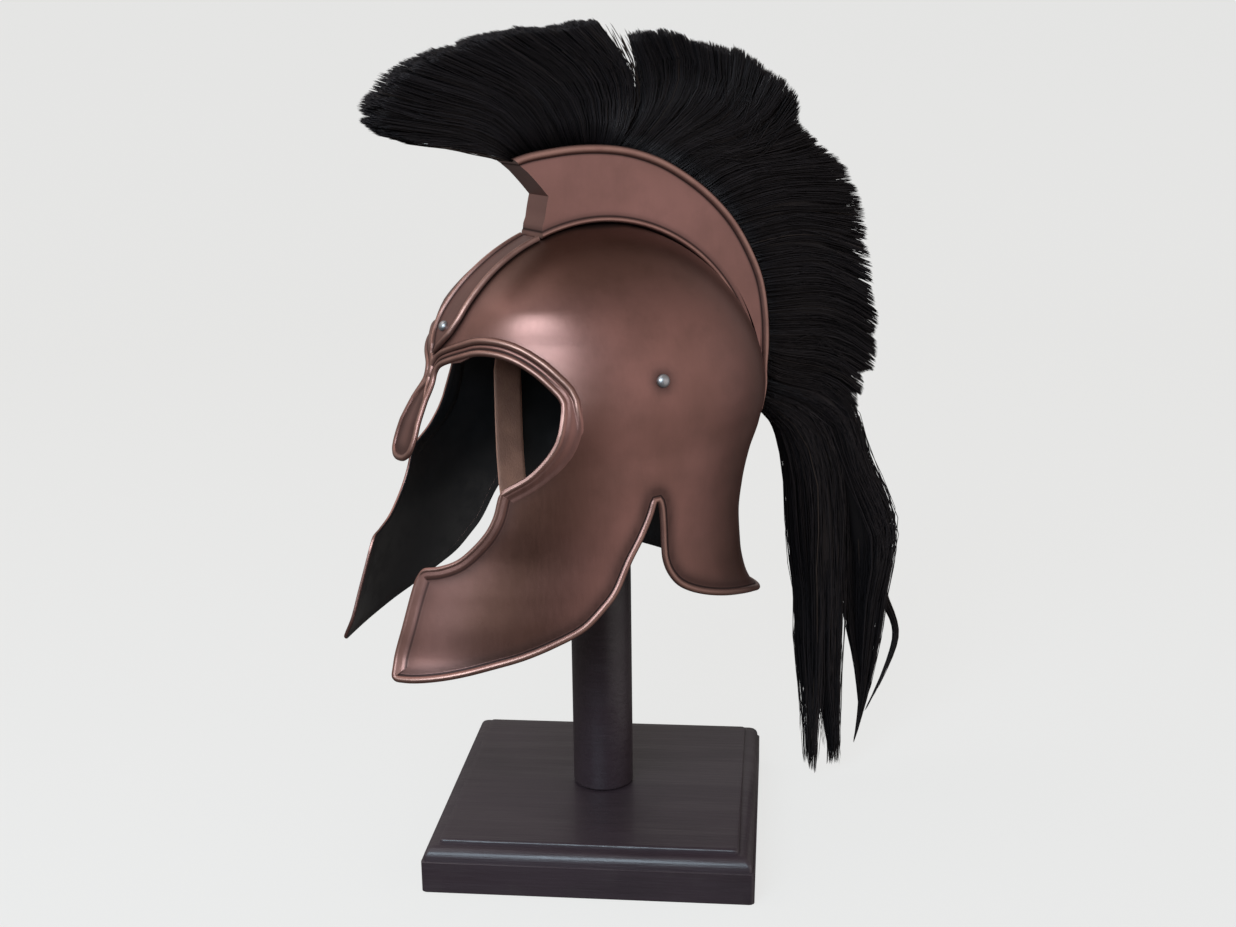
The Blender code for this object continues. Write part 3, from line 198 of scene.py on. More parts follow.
def table_row(rows, key):
    """Values of a table between its rows, smoothly, for a key in the first column."""
    rows = np.array(sorted(rows), float)
    keys, values = rows[:, 0], rows[:, 1:]
    key = min(max(key, keys[0]), keys[-1])
    i = np.flatnonzero(keys[:-1] <= key)[-1]
    rises = np.diff(values, axis=0) / np.diff(keys)[:, None]
    left, right = rises[:-1], rises[1:]
    turning = left * right <= 0
    inner = np.where(turning, 0.0, 2 * left * right / np.where(turning, 1.0, left + right))
    slopes = np.vstack([0.0 * values[:1], inner, rises[-1:]])
    span = keys[i + 1] - keys[i]
    t = (key - keys[i]) / span
    change = values[i + 1] - values[i]
    first, last = slopes[i] * span, slopes[i + 1] * span
    return (values[i] + first * t + (3 * change - 2 * first - last) * t ** 2
            + (first + last - 2 * change) * t ** 3)


LEVELS = np.linspace(-1.0, 0.6, 641)
FORM = np.array([table_row(SECTIONS, level) for level in LEVELS])


def height_of(level):
    """Heights of level shares."""
    level = np.asarray(level, float)
    return BOWL_LEVEL + level * np.where(level > 0, BOWL_HEIGHT, SKIRT_HEIGHT)


def level_of(height):
    """Level shares of heights."""
    rise = np.asarray(height, float) - BOWL_LEVEL
    return rise / np.where(rise > 0, BOWL_HEIGHT, SKIRT_HEIGHT)


def sections(height):
    """Front, back, half width, widest place and powers of the sections at some heights."""
    level = level_of(height)
    prow, nape, side, widest, front_power, back_power = (
        np.interp(level, LEVELS, FORM[:, k]) for k in range(6))
    above = np.clip(level, 0.0, 1.0)
    share = (1.0 - above ** BOWL_ROUNDNESS) ** (1.0 / BOWL_ROUNDNESS)
    share = np.maximum(share, 0.0001)
    return (CROWN_Y - BOWL_REACH * share * prow, CROWN_Y + BOWL_REACH * share * nape,
            BOWL_HALF_WIDTH * share * side, CROWN_Y - BOWL_REACH * share * widest,
            front_power, back_power)


def side_of(y, section):
    """Reach and power of the half of a section, front or back, that holds y."""
    front, back, _, widest, front_power, back_power = section
    ahead = y < widest
    return (np.where(ahead, widest - front, back - widest),
            np.where(ahead, front_power, back_power))


def field(points):
    """Negative inside the shell's outer surface, positive outside it."""
    x, y, z = points[..., 0], points[..., 1], points[..., 2]
    section = sections(z)
    reach, power = side_of(y, section)
    return (np.abs(x) / section[2]) ** power + (np.abs(y - section[3]) / reach) ** power - 1.0


def half_width(y, z):
    """Distance from the plane of symmetry to the surface at side-view points."""
    section = sections(z)
    reach, power = side_of(y, section)
    share = np.minimum(np.abs(y - section[3]) / reach, 1.0)
    return section[2] * (1.0 - share ** power) ** (1.0 / power)


def front_y(x, z):
    """Place of the surface's front at front-view points."""
    front, _, half, widest, power, _ = sections(z)
    return widest - (widest - front) * (1.0 - (np.abs(x) / half) ** power) ** (1.0 / power)


def unit(vectors):
    """Vectors of length 1 in the same directions."""
    return vectors / np.maximum(np.linalg.norm(vectors, axis=-1, keepdims=True), 1e-12)


FIELD_STEP = 0.0001
LONGEST_MOVE = 0.004


def normals(points):
    """Outward normals of the surface."""
    shifts = FIELD_STEP * np.eye(3)
    return unit(np.stack([field(points + s) - field(points - s) for s in shifts], axis=-1))


def settle(points):
    """Move points along the normals until they lie on the surface."""
    for _ in range(4):
        normal = normals(points)
        ahead, behind = field(points + FIELD_STEP * normal), field(points - FIELD_STEP * normal)
        move = np.clip(field(points) / ((ahead - behind) / (2.0 * FIELD_STEP)), -LONGEST_MOVE, LONGEST_MOVE)
        points = points - normal * move[..., None]
    return points


def smooth_path(points, steps):
    """Points along a curve that passes through the given ones."""
    points = np.asarray(points, float)
    padded = np.vstack([points[:1], points, points[-1:]])
    t = np.arange(steps)[:, None] / steps
    parts = []
    for before, start, end, after in zip(padded, padded[1:], padded[2:], padded[3:]):
        parts.append(0.5 * (2 * start + (end - before) * t
                            + (2 * before - 5 * start + 4 * end - after) * t ** 2
                            + (3 * start - before - 3 * end + after) * t ** 3))
    return np.vstack(parts + [points[-1:]])


def distances(path):
    """Distances of a path's points from its start."""
    return np.append(0.0, np.cumsum(np.linalg.norm(np.diff(path, axis=0), axis=1)))


def evenly(path, spacing):
    """The same path with evenly spaced points."""
    along = distances(path)
    wanted = np.linspace(0.0, along[-1], max(2, round(along[-1] / spacing)) + 1)
    return np.stack([np.interp(wanted, along, path[:, k]) for k in range(3)], axis=1)


def on_side(shares):
    """Points of the wearer's left side at (forward, level) shares."""
    y, z = side_share(*np.asarray(shares, float).T)
    return np.stack([half_width(y, z), y, z], axis=1)


def side_share(forward, level):
    """Side-view place of a share."""
    return CROWN_Y - forward * BOWL_REACH, height_of(level)


def polar(angle, radius):
    """Side-view points at angles from the vertical and distances from the bowl's centre."""
    angle = np.radians(angle)
    return CROWN_Y + radius * np.sin(angle), BOWL_LEVEL + radius * np.cos(angle)


def bowl_radius(angle, aside=0.0):
    """Distance from the bowl's centre to the surface along angles from the vertical."""
    angle = np.asarray(angle, float)
    near = np.full(np.broadcast(angle, aside).shape, 0.5 * BOWL_HALF_WIDTH)
    far = np.full(near.shape, 1.6 * BOWL_REACH)
    for _ in range(34):
        middle = 0.5 * (near + far)
        y, z = polar(angle, middle)
        points = np.stack([np.broadcast_to(aside, near.shape), y, z], axis=-1)
        inside = (level_of(z) < 1.0) & (field(points) < 0.0)
        near = np.where(inside, middle, near)
        far = np.where(inside, far, middle)
    return near


def over_bowl(angle, aside, rise=0.0):
    """Points over the bowl at angles, at distances aside and above its surface."""
    aside = np.asarray(aside, float)
    y, z = polar(angle, bowl_radius(np.broadcast_to(angle, aside.shape), aside) + rise)
    return np.stack([aside, y, z], axis=-1)


# Mesh helpers


def deselect():
    """Leave object mode with nothing selected."""
    if bpy.context.mode != "OBJECT":
        bpy.ops.object.mode_set(mode="OBJECT")
    bpy.ops.object.select_all(action="DESELECT")


def choose(piece, *others):
    """Select objects alone, the first one active."""
    deselect()
    for each in (piece, *others):
        each.select_set(True)
    bpy.context.view_layer.objects.active = piece


def named(piece, name):
    """Name an object and its mesh."""
    piece.name = piece.data.name = name
    return piece


def placed(name, data):
    """A new object in the scene, of a mesh, light or camera."""
    thing = bpy.data.objects.new(name, data)
    bpy.context.scene.collection.objects.link(thing)
    return thing


def layer(data, field_name="co", width=3, kind=float):
    """Values of a mesh's vertices, corners or faces, as rows."""
    values = np.empty(len(data) * width, kind)
    data.foreach_get(field_name, values)
    return values.reshape(-1, width) if width > 1 else values


def set_points(mesh, points):
    """Move a mesh's vertices."""
    mesh.vertices.foreach_set("co", np.ascontiguousarray(points, np.float32).reshape(-1))
    mesh.update()


def paint(piece, **values):
    """Store point values that the materials read."""
    for name, value in values.items():
        data = piece.data.attributes.new(name, "FLOAT", "POINT").data
        data.foreach_set("value", np.ascontiguousarray(value, np.float32).reshape(-1))


def reshaped_grid(name, points, **values):
    """A grid primitive whose vertices are moved onto rows of points."""
    rows, columns = points.shape[:2]
    deselect()
    bpy.ops.mesh.primitive_grid_add(x_subdivisions=columns - 1, y_subdivisions=rows - 1, size=1.0)
    piece = named(bpy.context.object, name)
    set_points(piece.data, points)
    paint(piece, **values)
    return piece


def edit(piece, *steps):
    """Run operators, each given with its settings, on all of a piece's mesh."""
    choose(piece)
    bpy.ops.object.mode_set(mode="EDIT")
    bpy.ops.mesh.select_all(action="SELECT")
    for operator, settings in steps:
        operator(**settings)
    bpy.ops.object.mode_set(mode="OBJECT")
    return piece


MERGE_DISTANCE = 0.000002
EVERYTHING = (bpy.ops.mesh.select_all, {"action": "SELECT"})
NOTHING = (bpy.ops.mesh.select_all, {"action": "DESELECT"})
MERGE = (bpy.ops.mesh.remove_doubles, {"threshold": MERGE_DISTANCE})
OUTWARDS = (bpy.ops.mesh.normals_make_consistent, {"inside": False})
CAP = (NOTHING, (bpy.ops.mesh.select_mode, {"type": "VERT"}),
       (bpy.ops.mesh.select_non_manifold, {"extend": False}), (bpy.ops.mesh.fill_holes, {"sides": 0}))


def loft(name, rings, **values):
    """A closed tube through rings of points, each ring given once round."""
    wrapped = {key: np.concatenate([value, value[:, :1]], axis=1)
               for key, value in {"points": rings, **values}.items()}
    return edit(reshaped_grid(name, **wrapped), MERGE, *CAP, EVERYTHING, OUTWARDS)


def apply(piece, kind, **settings):
    """Add a modifier with its settings and apply it."""
    choose(piece)
    step = piece.modifiers.new(kind.lower(), kind)
    for key, value in settings.items():
        setattr(step, key, value)
    bpy.ops.object.modifier_apply(modifier=step.name)


def smooth(piece, degrees):
    """Shade smooth, with the sharper edges kept."""
    choose(piece)
    bpy.ops.object.shade_smooth_by_angle(angle=math.radians(degrees))
    return piece


def join(pieces, name):
    """Join pieces into the first one."""
    choose(*pieces)
    bpy.ops.object.join()
    return named(bpy.context.object, name)


def outline_prism(name, outline, half_depth, side_view):
    """A flat outline in the side or front view, extruded both ways."""
    deselect()
    bpy.ops.mesh.primitive_circle_add(vertices=len(outline), fill_type="NGON", radius=1.0)
    prism = named(bpy.context.object, name)
    first, second = np.asarray(outline, float).T
    depth = np.full(len(first), -half_depth)
    columns = (depth, first, second) if side_view else (first, depth, second)
    set_points(prism.data, np.stack(columns, axis=1))
    shift = (2.0 * half_depth, 0, 0) if side_view else (0, 2.0 * half_depth, 0)
    extrude = (bpy.ops.mesh.extrude_region_move, {"TRANSFORM_OT_translate": {"value": shift}})
    return edit(prism, extrude, EVERYTHING, OUTWARDS)


def cut(piece, cutter):
    """Cut one object from another, and remove the cutter."""
    apply(piece, "BOOLEAN", operation="DIFFERENCE", object=cutter, solver="EXACT")
    bpy.data.objects.remove(cutter, do_unlink=True)


def finish(piece, surface, slot, *nodes):
    """Give a piece its material and set it in the frame for its solids."""
    if surface:
        piece.data.materials.clear()
        piece.data.materials.append(surface)
    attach(piece, "root")
    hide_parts(*nodes)


# Materials, with the colour sockets of a Mix node
MIX_FACTOR, MIX_FIRST, MIX_SECOND, MIX_RESULT = 0, 6, 7, 2

# Tones that the panel doesn't offer
# Near black of grime with painted shade, beside raised parts and under the crest
COPPER_GRIME_AND_SHADE = (0.012, 0.008, 0.008)
INSIDE_PAINT = (0.0075, 0.0075, 0.0080)
INSIDE_CLOUDS = (0.012, 0.011, 0.0115)
STEEL = (0.24, 0.205, 0.20)
STEEL_STAINS = (0.11, 0.092, 0.09)
# Dark of grime with painted shade round a rivet's foot
STEEL_GRIME_AND_SHADE = (0.02, 0.015, 0.015)
HAIR_BROWN = (0.040, 0.028, 0.022)
# Palest strand tone: partly pale hair, partly painted highlight where frayed ends catch the light
HAIR_PALE_AND_HIGHLIGHT = (0.42, 0.40, 0.38)
HAIR_SHEEN = (1.0, 0.84, 0.80, 1.0)
WOOD_RUBBED = (0.045, 0.034, 0.034)
FLOOR_SHADE = (0.09, 0.09, 0.09, 1.0)


def rgba(colour, share=1.0):
    """A colour with its opacity, darker or lighter by a share. Sockets stay as they are."""
    if isinstance(colour, bpy.types.NodeSocket):
        return colour
    return (*(min(c * share, 1.0) for c in colour[:3]), 1.0)


class Nodes:
    """A node tree, with short ways to add its nodes."""

    def __init__(self, tree):
        self.tree = tree

    def feed(self, socket, value):
        """Feed an input from a socket or a value."""
        if isinstance(value, bpy.types.NodeSocket):
            self.tree.links.new(value, socket)
        else:
            socket.default_value = value

    def add(self, kind, inputs=(), **settings):
        """A node with its settings and inputs."""
        node = self.tree.nodes.new("ShaderNode" + kind)
        for key, value in settings.items():
            setattr(node, key, value)
        for key, value in dict(inputs).items():
            self.feed(node.inputs[key], value)
        return node

    def math(self, operation, *values):
        """Output of a Math node."""
        return self.add("Math", enumerate(values), operation=operation).outputs[0]

    def times(self, value, factor):
        """A value times a factor."""
        return self.math("MULTIPLY", value, factor)

    def mix(self, base, *layers):
        """Layers of colour, each after its strength, one over another."""
        for strength, colour in layers:
            sockets = {MIX_FACTOR: strength, MIX_FIRST: rgba(base), MIX_SECOND: rgba(colour)}
            base = self.add("Mix", sockets, data_type="RGBA").outputs[MIX_RESULT]
        return base

    def spread(self, value, low=0.0, high=1.0, to_low=0.0, to_high=1.0):
        """A value moved smoothly from one range to another."""
        inputs = {"Value": value, "From Min": low, "From Max": high, "To Min": to_low, "To Max": to_high}
        return self.add("MapRange", inputs, interpolation_type="SMOOTHSTEP").outputs["Result"]

    def noise(self, vector, scale, detail, roughness):
        """Value of a Noise Texture node."""
        inputs = {"Vector": vector, "Scale": scale, "Detail": detail, "Roughness": roughness}
        return self.add("TexNoise", inputs).outputs["Fac"]


def node_group(name, defaults, fill):
    """The node group of that name, built once. fill makes its outputs from its inputs."""
    if name in bpy.data.node_groups:
        return bpy.data.node_groups[name]
    group = bpy.data.node_groups.new(name, "ShaderNodeTree")
    for label, default in defaults.items():
        kind = "NodeSocketFloat" if isinstance(default, float) else "NodeSocketVector"
        group.interface.new_socket(label, in_out="INPUT", socket_type=kind).default_value = default
    nodes = Nodes(group)
    outputs = fill(nodes, group.nodes.new("NodeGroupInput").outputs)
    for label in outputs:
        group.interface.new_socket(label, in_out="OUTPUT", socket_type="NodeSocketFloat")
    out = group.nodes.new("NodeGroupOutput")
    for label, value in outputs.items():
        nodes.feed(out.inputs[label], value)
    return group


def streaks(nodes, entry):
    """Fine parallel streaks, as brushing, grain or hair lines leave them."""
    stretched = {0: entry["Vector"], 1: entry["Stretch"]}
    place = nodes.add("VectorMath", stretched, operation="MULTIPLY").outputs[0]
    fine = nodes.noise(place, entry["Scale"], 6.0, 0.65)
    broad = nodes.noise(place, nodes.times(entry["Scale"], 0.22), 3.0, 0.5)
    return {"Streaks": nodes.spread(fine, 0.30, 0.70), "Broad": nodes.spread(broad, 0.35, 0.65)}


def patina(nodes, entry):
    """Clouded tones and small stains of an antiqued metal or a painted board."""
    place, scale = entry["Vector"], entry["Scale"]
    clouds = nodes.noise(place, scale, 3.0, 0.55)
    stains = nodes.noise(place, nodes.times(scale, 3.1), 5.0, 0.6)
    specks = nodes.noise(place, nodes.times(scale, 34.0), 4.0, 0.6)
    return {"Clouds": nodes.spread(clouds, 0.34, 0.66), "Stains": nodes.spread(stains, 0.38, 0.72),
            "Specks": nodes.spread(specks, 0.55, 0.75)}


class Surface(Nodes):
    """A material with its Principled shader and object coordinates."""

    def __init__(self, name, metallic, roughness, **constants):
        self.material = bpy.data.materials.new(name)
        self.material.use_nodes = True
        super().__init__(self.material.node_tree)
        self.place = self.add("TexCoord").outputs["Object"]
        self.set(Metallic=metallic, Roughness=roughness, **constants)

    def set(self, **values):
        """Set inputs of the shader. A low line in a key stands for a space."""
        shader = self.tree.nodes["Principled BSDF"]
        for key, value in values.items():
            self.feed(shader.inputs[key.replace("_", " ")], value)

    def attribute(self, name):
        """The value of a point attribute."""
        return self.add("Attribute", attribute_name=name).outputs["Fac"]

    def patina(self, scale):
        """Clouds, stains and specks at a scale."""
        group = node_group("clouded_patina", {"Vector": (0.0, 0.0, 0.0), "Scale": 9.0}, patina)
        return self.add("Group", {"Vector": self.place, "Scale": scale}, node_tree=group).outputs

    def streaks(self, stretch, scale):
        """Fine and broad streaks, stretched along an axis."""
        defaults = {"Vector": (0.0, 0.0, 0.0), "Stretch": (1.0, 1.0, 1.0), "Scale": 60.0}
        group = node_group("fine_streaks", defaults, streaks)
        inputs = {"Vector": self.place, "Stretch": stretch, "Scale": scale}
        return self.add("Group", inputs, node_tree=group).outputs

    def bump(self, height, distance, strength):
        """Bump from a height value."""
        node = self.add("Bump", {"Height": height, "Distance": distance, "Strength": strength})
        self.set(Normal=node.outputs["Normal"])


def copper_surface(name, colour, deep, worn_colour):
    """Antiqued copper-brown plating: clouded, streaked, rubbed bright where it is worn, darkened by grime
    with painted shade and by brown patches of patina and painted shade.
    """
    s = Surface(name, 0.90, 0.42, Coat_Roughness=0.36)
    clouds, stains, specks = s.patina(11.0)
    fine = s.streaks((1.0, 1.0, 0.16), 420.0)["Streaks"]
    # Grime with painted shade darkens the plating beside raised parts and under the crest
    grime = s.attribute("grime")
    # Brown patches, partly patina and partly painted shade
    brown = s.times(s.attribute("patch"), s.spread(stains, to_low=0.92, to_high=1.0))
    rubbed = s.times(s.attribute("worn"), s.spread(stains, to_low=0.62, to_high=0.25))
    base = s.mix(colour, (s.times(clouds, 0.75), deep), (s.times(stains, 0.28), rgba(deep, 0.62)),
                 (s.times(fine, 0.08), rgba(colour, 1.40)), (brown, PATINA_AND_SHADE_BROWN), (rubbed, worn_colour),
                 (s.times(grime, 0.88), COPPER_GRIME_AND_SHADE))
    rough = s.math("MULTIPLY_ADD", fine, 0.04, 0.38)
    rough = s.math("MULTIPLY_ADD", clouds, 0.06, rough)
    rough = s.math("MULTIPLY_ADD", grime, 0.18, rough)
    rough = s.math("MULTIPLY_ADD", rubbed, -0.05, rough)
    dull = s.math("MAXIMUM", brown, grime)
    s.set(Base_Color=base, Roughness=rough, Coat_Weight=s.spread(dull, to_low=0.45, to_high=0.08))
    s.bump(s.math("MULTIPLY_ADD", fine, 0.25, s.times(specks, 0.5)), 0.00010, 0.4)
    return s.material


def inside_surface(name):
    """Satin black paint on the inside of the sheet."""
    s = Surface(name, 0.0, 0.40)
    clouds, stains, specks = s.patina(16.0)
    s.set(Base_Color=s.mix(INSIDE_PAINT, (clouds, INSIDE_CLOUDS)),
          Roughness=s.spread(stains, to_low=0.34, to_high=0.46))
    s.bump(specks, 0.0001, 0.4)
    return s.material


def steel_surface(name):
    """Grey steel of the rivets, darker towards its rim with grime and painted shade."""
    s = Surface(name, 0.95, 0.30)
    clouds, stains, _ = s.patina(160.0)
    s.set(Base_Color=s.mix(STEEL, (stains, STEEL_STAINS), (s.attribute("grime"), STEEL_GRIME_AND_SHADE)),
          Roughness=s.spread(clouds, to_low=0.25, to_high=0.38))
    return s.material


def leather_surface(name, colour):
    """Brown strap leather with a fine grain and rubbed edges."""
    s = Surface(name, 0.0, 0.62)
    clouds, _, specks = s.patina(42.0)
    fine = s.streaks((1.0, 1.0, 0.4), 900.0)["Streaks"]
    s.set(Base_Color=s.mix(colour, (clouds, rgba(colour, 0.72)), (s.times(fine, 0.30), rgba(colour, 0.55)),
                           (s.attribute("worn"), rgba(colour, 1.35))),
          Roughness=s.spread(fine, to_low=0.55, to_high=0.72))
    s.bump(s.math("ADD", fine, specks), 0.0002, 0.6)
    return s.material


def hair_surface(name, colour):
    """Black horse hair, each strand in its own shade."""
    s = Surface(name, 0.0, 0.42, Specular_IOR_Level=0.24, Specular_Tint=HAIR_SHEEN)
    # Tone 0, the darkest, is what the cores carry as painted deep shade
    shade = s.attribute("shade")
    # The palest strands are partly pale hair, partly painted highlight on frayed ends
    s.set(Base_Color=s.mix(rgba(colour, 0.35), (s.spread(shade, 0.0, 0.8), colour),
                           (s.spread(shade, 0.80, 0.98), HAIR_BROWN),
                           (s.spread(shade, 0.985, 1.0), HAIR_PALE_AND_HIGHLIGHT)),
          Roughness=s.spread(shade, to_low=0.50, to_high=0.36))
    return s.material


def wood_surface(name, colour):
    """Black painted wood: faint long grain, soft gloss and brownish worn edges."""
    s = Surface(name, 0.0, 0.30, Coat_Weight=0.10)
    turn = {"Rotation": (0.0, 0.0, -BASE_TURN), "Vector": s.place}
    s.place = s.add("Mapping", turn).outputs["Vector"]
    clouds, stains, _ = s.patina(10.0)
    fine, broad = s.streaks((1.0, 0.06, 1.0), 330.0)
    rubbed = s.times(s.times(s.attribute("worn"), s.spread(stains, 0.2, 0.9)), 0.35)
    s.set(Base_Color=s.mix(colour, (clouds, rgba(colour, 1.5)), (s.times(fine, 0.45), rgba(colour, 1.8)),
                           (rubbed, WOOD_RUBBED)),
          Roughness=s.spread(broad, to_low=0.36, to_high=0.46))
    s.bump(s.math("ADD", fine, broad), 0.00018, 0.6)
    return s.material


def floor_surface(name, colour):
    """Plain pale floor, mostly evenly lit."""
    return Surface(name, 0.0, 0.9, Base_Color=FLOOR_SHADE, Specular_IOR_Level=0.0,
                   Emission_Color=rgba(colour), Emission_Strength=0.92).material


def once(name, make, *colours):
    """The material of that name, made once."""
    return bpy.data.materials.get(name) or make(name, *colours)


# Shell: skin and rims

SKIN_COLUMNS = 208
DOME_ROWS = 40
SKIRT_ROWS = 78
SKIN_INSET = 0.0012
CUT_SPACING = 0.0015
RIM_SPACING = 0.0014
PATH_STEPS = 8
CORNERS = (("eye", "mouth", 0.003), ("mouth", "cheek", 0.0035), ("cheek", "skirt", 0.0055))

# Reaches of the cuts, as shares, and where the side and front cuts of the face meet
OUTSIDE = 1.9
BELOW = -1.2
FACE_TOP = 0.33
FACE_START = 0.905
NOSE_LIFT_LEVEL = -0.09
NOSE_NARROWING = 0.008
NOSE_ROOT = ((0.030, 0.342), (0.045, 0.42))
SKIRT_REAR_LEVEL = -0.93


def skin_points():
    """Rows of points over the whole surface, from the crown down."""
    dome = np.cos(np.linspace(0.0, 0.5 * math.pi, DOME_ROWS)) ** (2.0 / BOWL_ROUNDNESS)
    heights = height_of(np.concatenate([dome[:-1], np.linspace(0.0, -1.0, SKIRT_ROWS)]))
    around = np.linspace(-0.5 * math.pi, 1.5 * math.pi, SKIN_COLUMNS + 1)
    section = [v[:, None] for v in sections(heights)]
    sine, cosine = np.sin(around)[None], np.cos(around)[None]
    reach, power = side_of(np.sign(sine), section)
    x = section[2] * np.sign(cosine) * np.abs(cosine) ** (2.0 / power)
    y = section[3] + reach * np.sign(sine) * np.abs(sine) ** (2.0 / power)
    points = np.stack([x, y, np.broadcast_to(heights[:, None], x.shape)], axis=-1)
    points[0] = (0.0, CROWN_Y, BOWL_LEVEL + BOWL_HEIGHT)
    points[:, -1] = points[:, 0]
    return points


def nose_path():
    """Edge of the nose guard on the wearer's left, from its bottom up."""
    shares = smooth_path(NOSE_EDGE, PATH_STEPS)
    x, z = shares[:, 0] * NOSE_HALF_WIDTH, height_of(shares[:, 1])
    return np.stack([x, front_y(x, z), z], axis=1)


def shell_edges():
    """The shell's edges on the wearer's left, as paths on its surface."""
    nose = nose_path()
    brow, rear, mouth, cheek, lower, neck = (
        on_side(smooth_path(rows, PATH_STEPS))
        for rows in (BROW, EYE_REAR, MOUTH, CHEEK_FRONT, CHEEK_LOWER, NECK_LOWER))
    tip = on_side(smooth_path(NOTCH_TIP, 6))
    join_up = smooth_path(np.vstack([nose[-6], nose[-3], brow[4], brow[10]]), 6)[6:-6]
    return {"eye": np.vstack([nose[:-3], join_up, brow[5:], rear[1:]]), "mouth": mouth,
            "cheek": cheek, "skirt": np.vstack([lower, tip[1:-1], neck])}


def settled_edges():
    """The shell's edges with even spacing, brought onto the surface."""
    return {key: settle(evenly(path, RIM_SPACING)) for key, path in shell_edges().items()}


def mirrored(points):
    """The same points on the wearer's right."""
    return points * FLIP


def tangents(path):
    """Directions along a path, a little smoothed."""
    along = unit(np.gradient(path, axis=0))
    padded = np.vstack([along[:1], along, along[-1:]])
    return unit(padded[:-2] + 2.0 * along + padded[2:])


def inward(path):
    """Directions along the surface from an edge into the sheet."""
    return unit(np.cross(normals(path), tangents(path)))


def inset_line(path):
    """Side-view line a little inside an edge, without the points that crowd a corner."""
    path = evenly(path, CUT_SPACING)
    moved = path + inward(path) * SKIN_INSET
    gaps = np.linalg.norm(moved[:, None] - path[None], axis=2).min(axis=1)
    return [tuple(p) for p in moved[gaps > 0.9 * SKIN_INSET][:, 1:]]


def make_skin():
    """The thin sheet of the shell, cut a little inside its edges."""
    skin = edit(reshaped_grid("helmet_shell_dressed", skin_points()), MERGE, OUTWARDS)
    if sum(f.normal.z for f in skin.data.polygons if f.center.z > BOWL_LEVEL + 0.1) < 0:
        skin.data.flip_normals()
    for surface in shell_surfaces():
        skin.data.materials.append(surface)
    apply(skin, "SOLIDIFY", thickness=WALL, offset=-1.0, use_even_offset=True, material_offset=1)
    edges = shell_edges()
    eye = edges["eye"][int(np.argmax(edges["eye"][:, 1] > side_share(FACE_START, 0.0)[0])):]
    line = inset_line(np.vstack([eye, edges["mouth"][1:], edges["cheek"][1:]]))
    outline = [side_share(OUTSIDE, FACE_TOP), (line[0][0], max(line[0][1], height_of(FACE_TOP))), *line,
               (line[-1][0], height_of(BELOW)), side_share(OUTSIDE, BELOW)]
    opening = outline_prism("face_cut", outline, 0.2, True)
    x, _, z = nose_path().T
    x = np.maximum(x - SKIN_INSET * np.minimum(x / NOSE_NARROWING, 1.0), 0.0)
    z = z + np.where(z < height_of(NOSE_LIFT_LEVEL), SKIN_INSET, 0.0)
    right = [*zip(x, z), *((aside, height_of(level)) for aside, level in NOSE_ROOT)]
    cut(opening, outline_prism("nose_kept", right + [(-x, z) for x, z in right[:0:-1]], 0.4, False))
    cut(skin, opening)
    line = inset_line(edges["skirt"])
    outline = [(side_share(OUTSIDE, 0)[0], line[0][1]), *line, side_share(-OUTSIDE, SKIRT_REAR_LEVEL),
               side_share(-OUTSIDE, BELOW), side_share(OUTSIDE, BELOW)]
    cut(skin, outline_prism("skirt_cut", outline, 0.21, True))
    return skin


def shade_by_surface(skin):
    """Shade the skin with the true normals of its surface."""
    mesh = skin.data
    flat = np.repeat(layer(mesh.polygons, "normal"), layer(mesh.polygons, "loop_total", 1, int), axis=0)
    wanted = normals(layer(mesh.vertices))[layer(mesh.loops, "vertex_index", 1, int)]
    facing = (wanted * flat).sum(axis=1, keepdims=True)
    wanted = np.where(facing > 0.6, wanted, np.where(facing < -0.6, -wanted, flat))
    mesh.shade_smooth()
    mesh.normals_split_custom_set([tuple(n) for n in wanted])


def ridge(depth, centre, half, height):
    """A rounded ridge across a rim."""
    share = np.clip((depth - centre) / half, -1.0, 1.0)
    return height * np.sqrt(np.maximum(1.0 - share ** 2, 0.0)) * (1.0 - 0.25 * share ** 2)


def ramp(value, low, high):
    """Smooth step from 0 to 1."""
    t = np.clip((value - low) / (high - low), 0.0, 1.0)
    return t * t * (3.0 - 2.0 * t)


# A rim's section: places of the points on its inner side, how far its edge stands out,
# and the small rise over the skin that ends just under it at the far side
INNER_PLACES = (0.88, 0.55, 0.25, 0.06)
EDGE_LEVELS = (-0.55 * WALL, -0.2 * WALL)
EDGE_OVERHANG = 0.00012
INNER_GAP = 0.00006
RIM_LIFT = 0.00006
MITRE_REACH = 0.030

# Rims of the face: the edge before, the edge, the one after, then the rim's width and the
# heights of its band and its lip. Rim of the skirt: width, and the bead's width and height
FACE_RIMS = (("eye", "mouth", "cheek", 0.0095, 0.00080, 0.00125),
             ("mouth", "cheek", "skirt", 0.0120, 0.00085, 0.00110))
SKIRT_RIM = (0.0068, 0.0044, 0.00150)


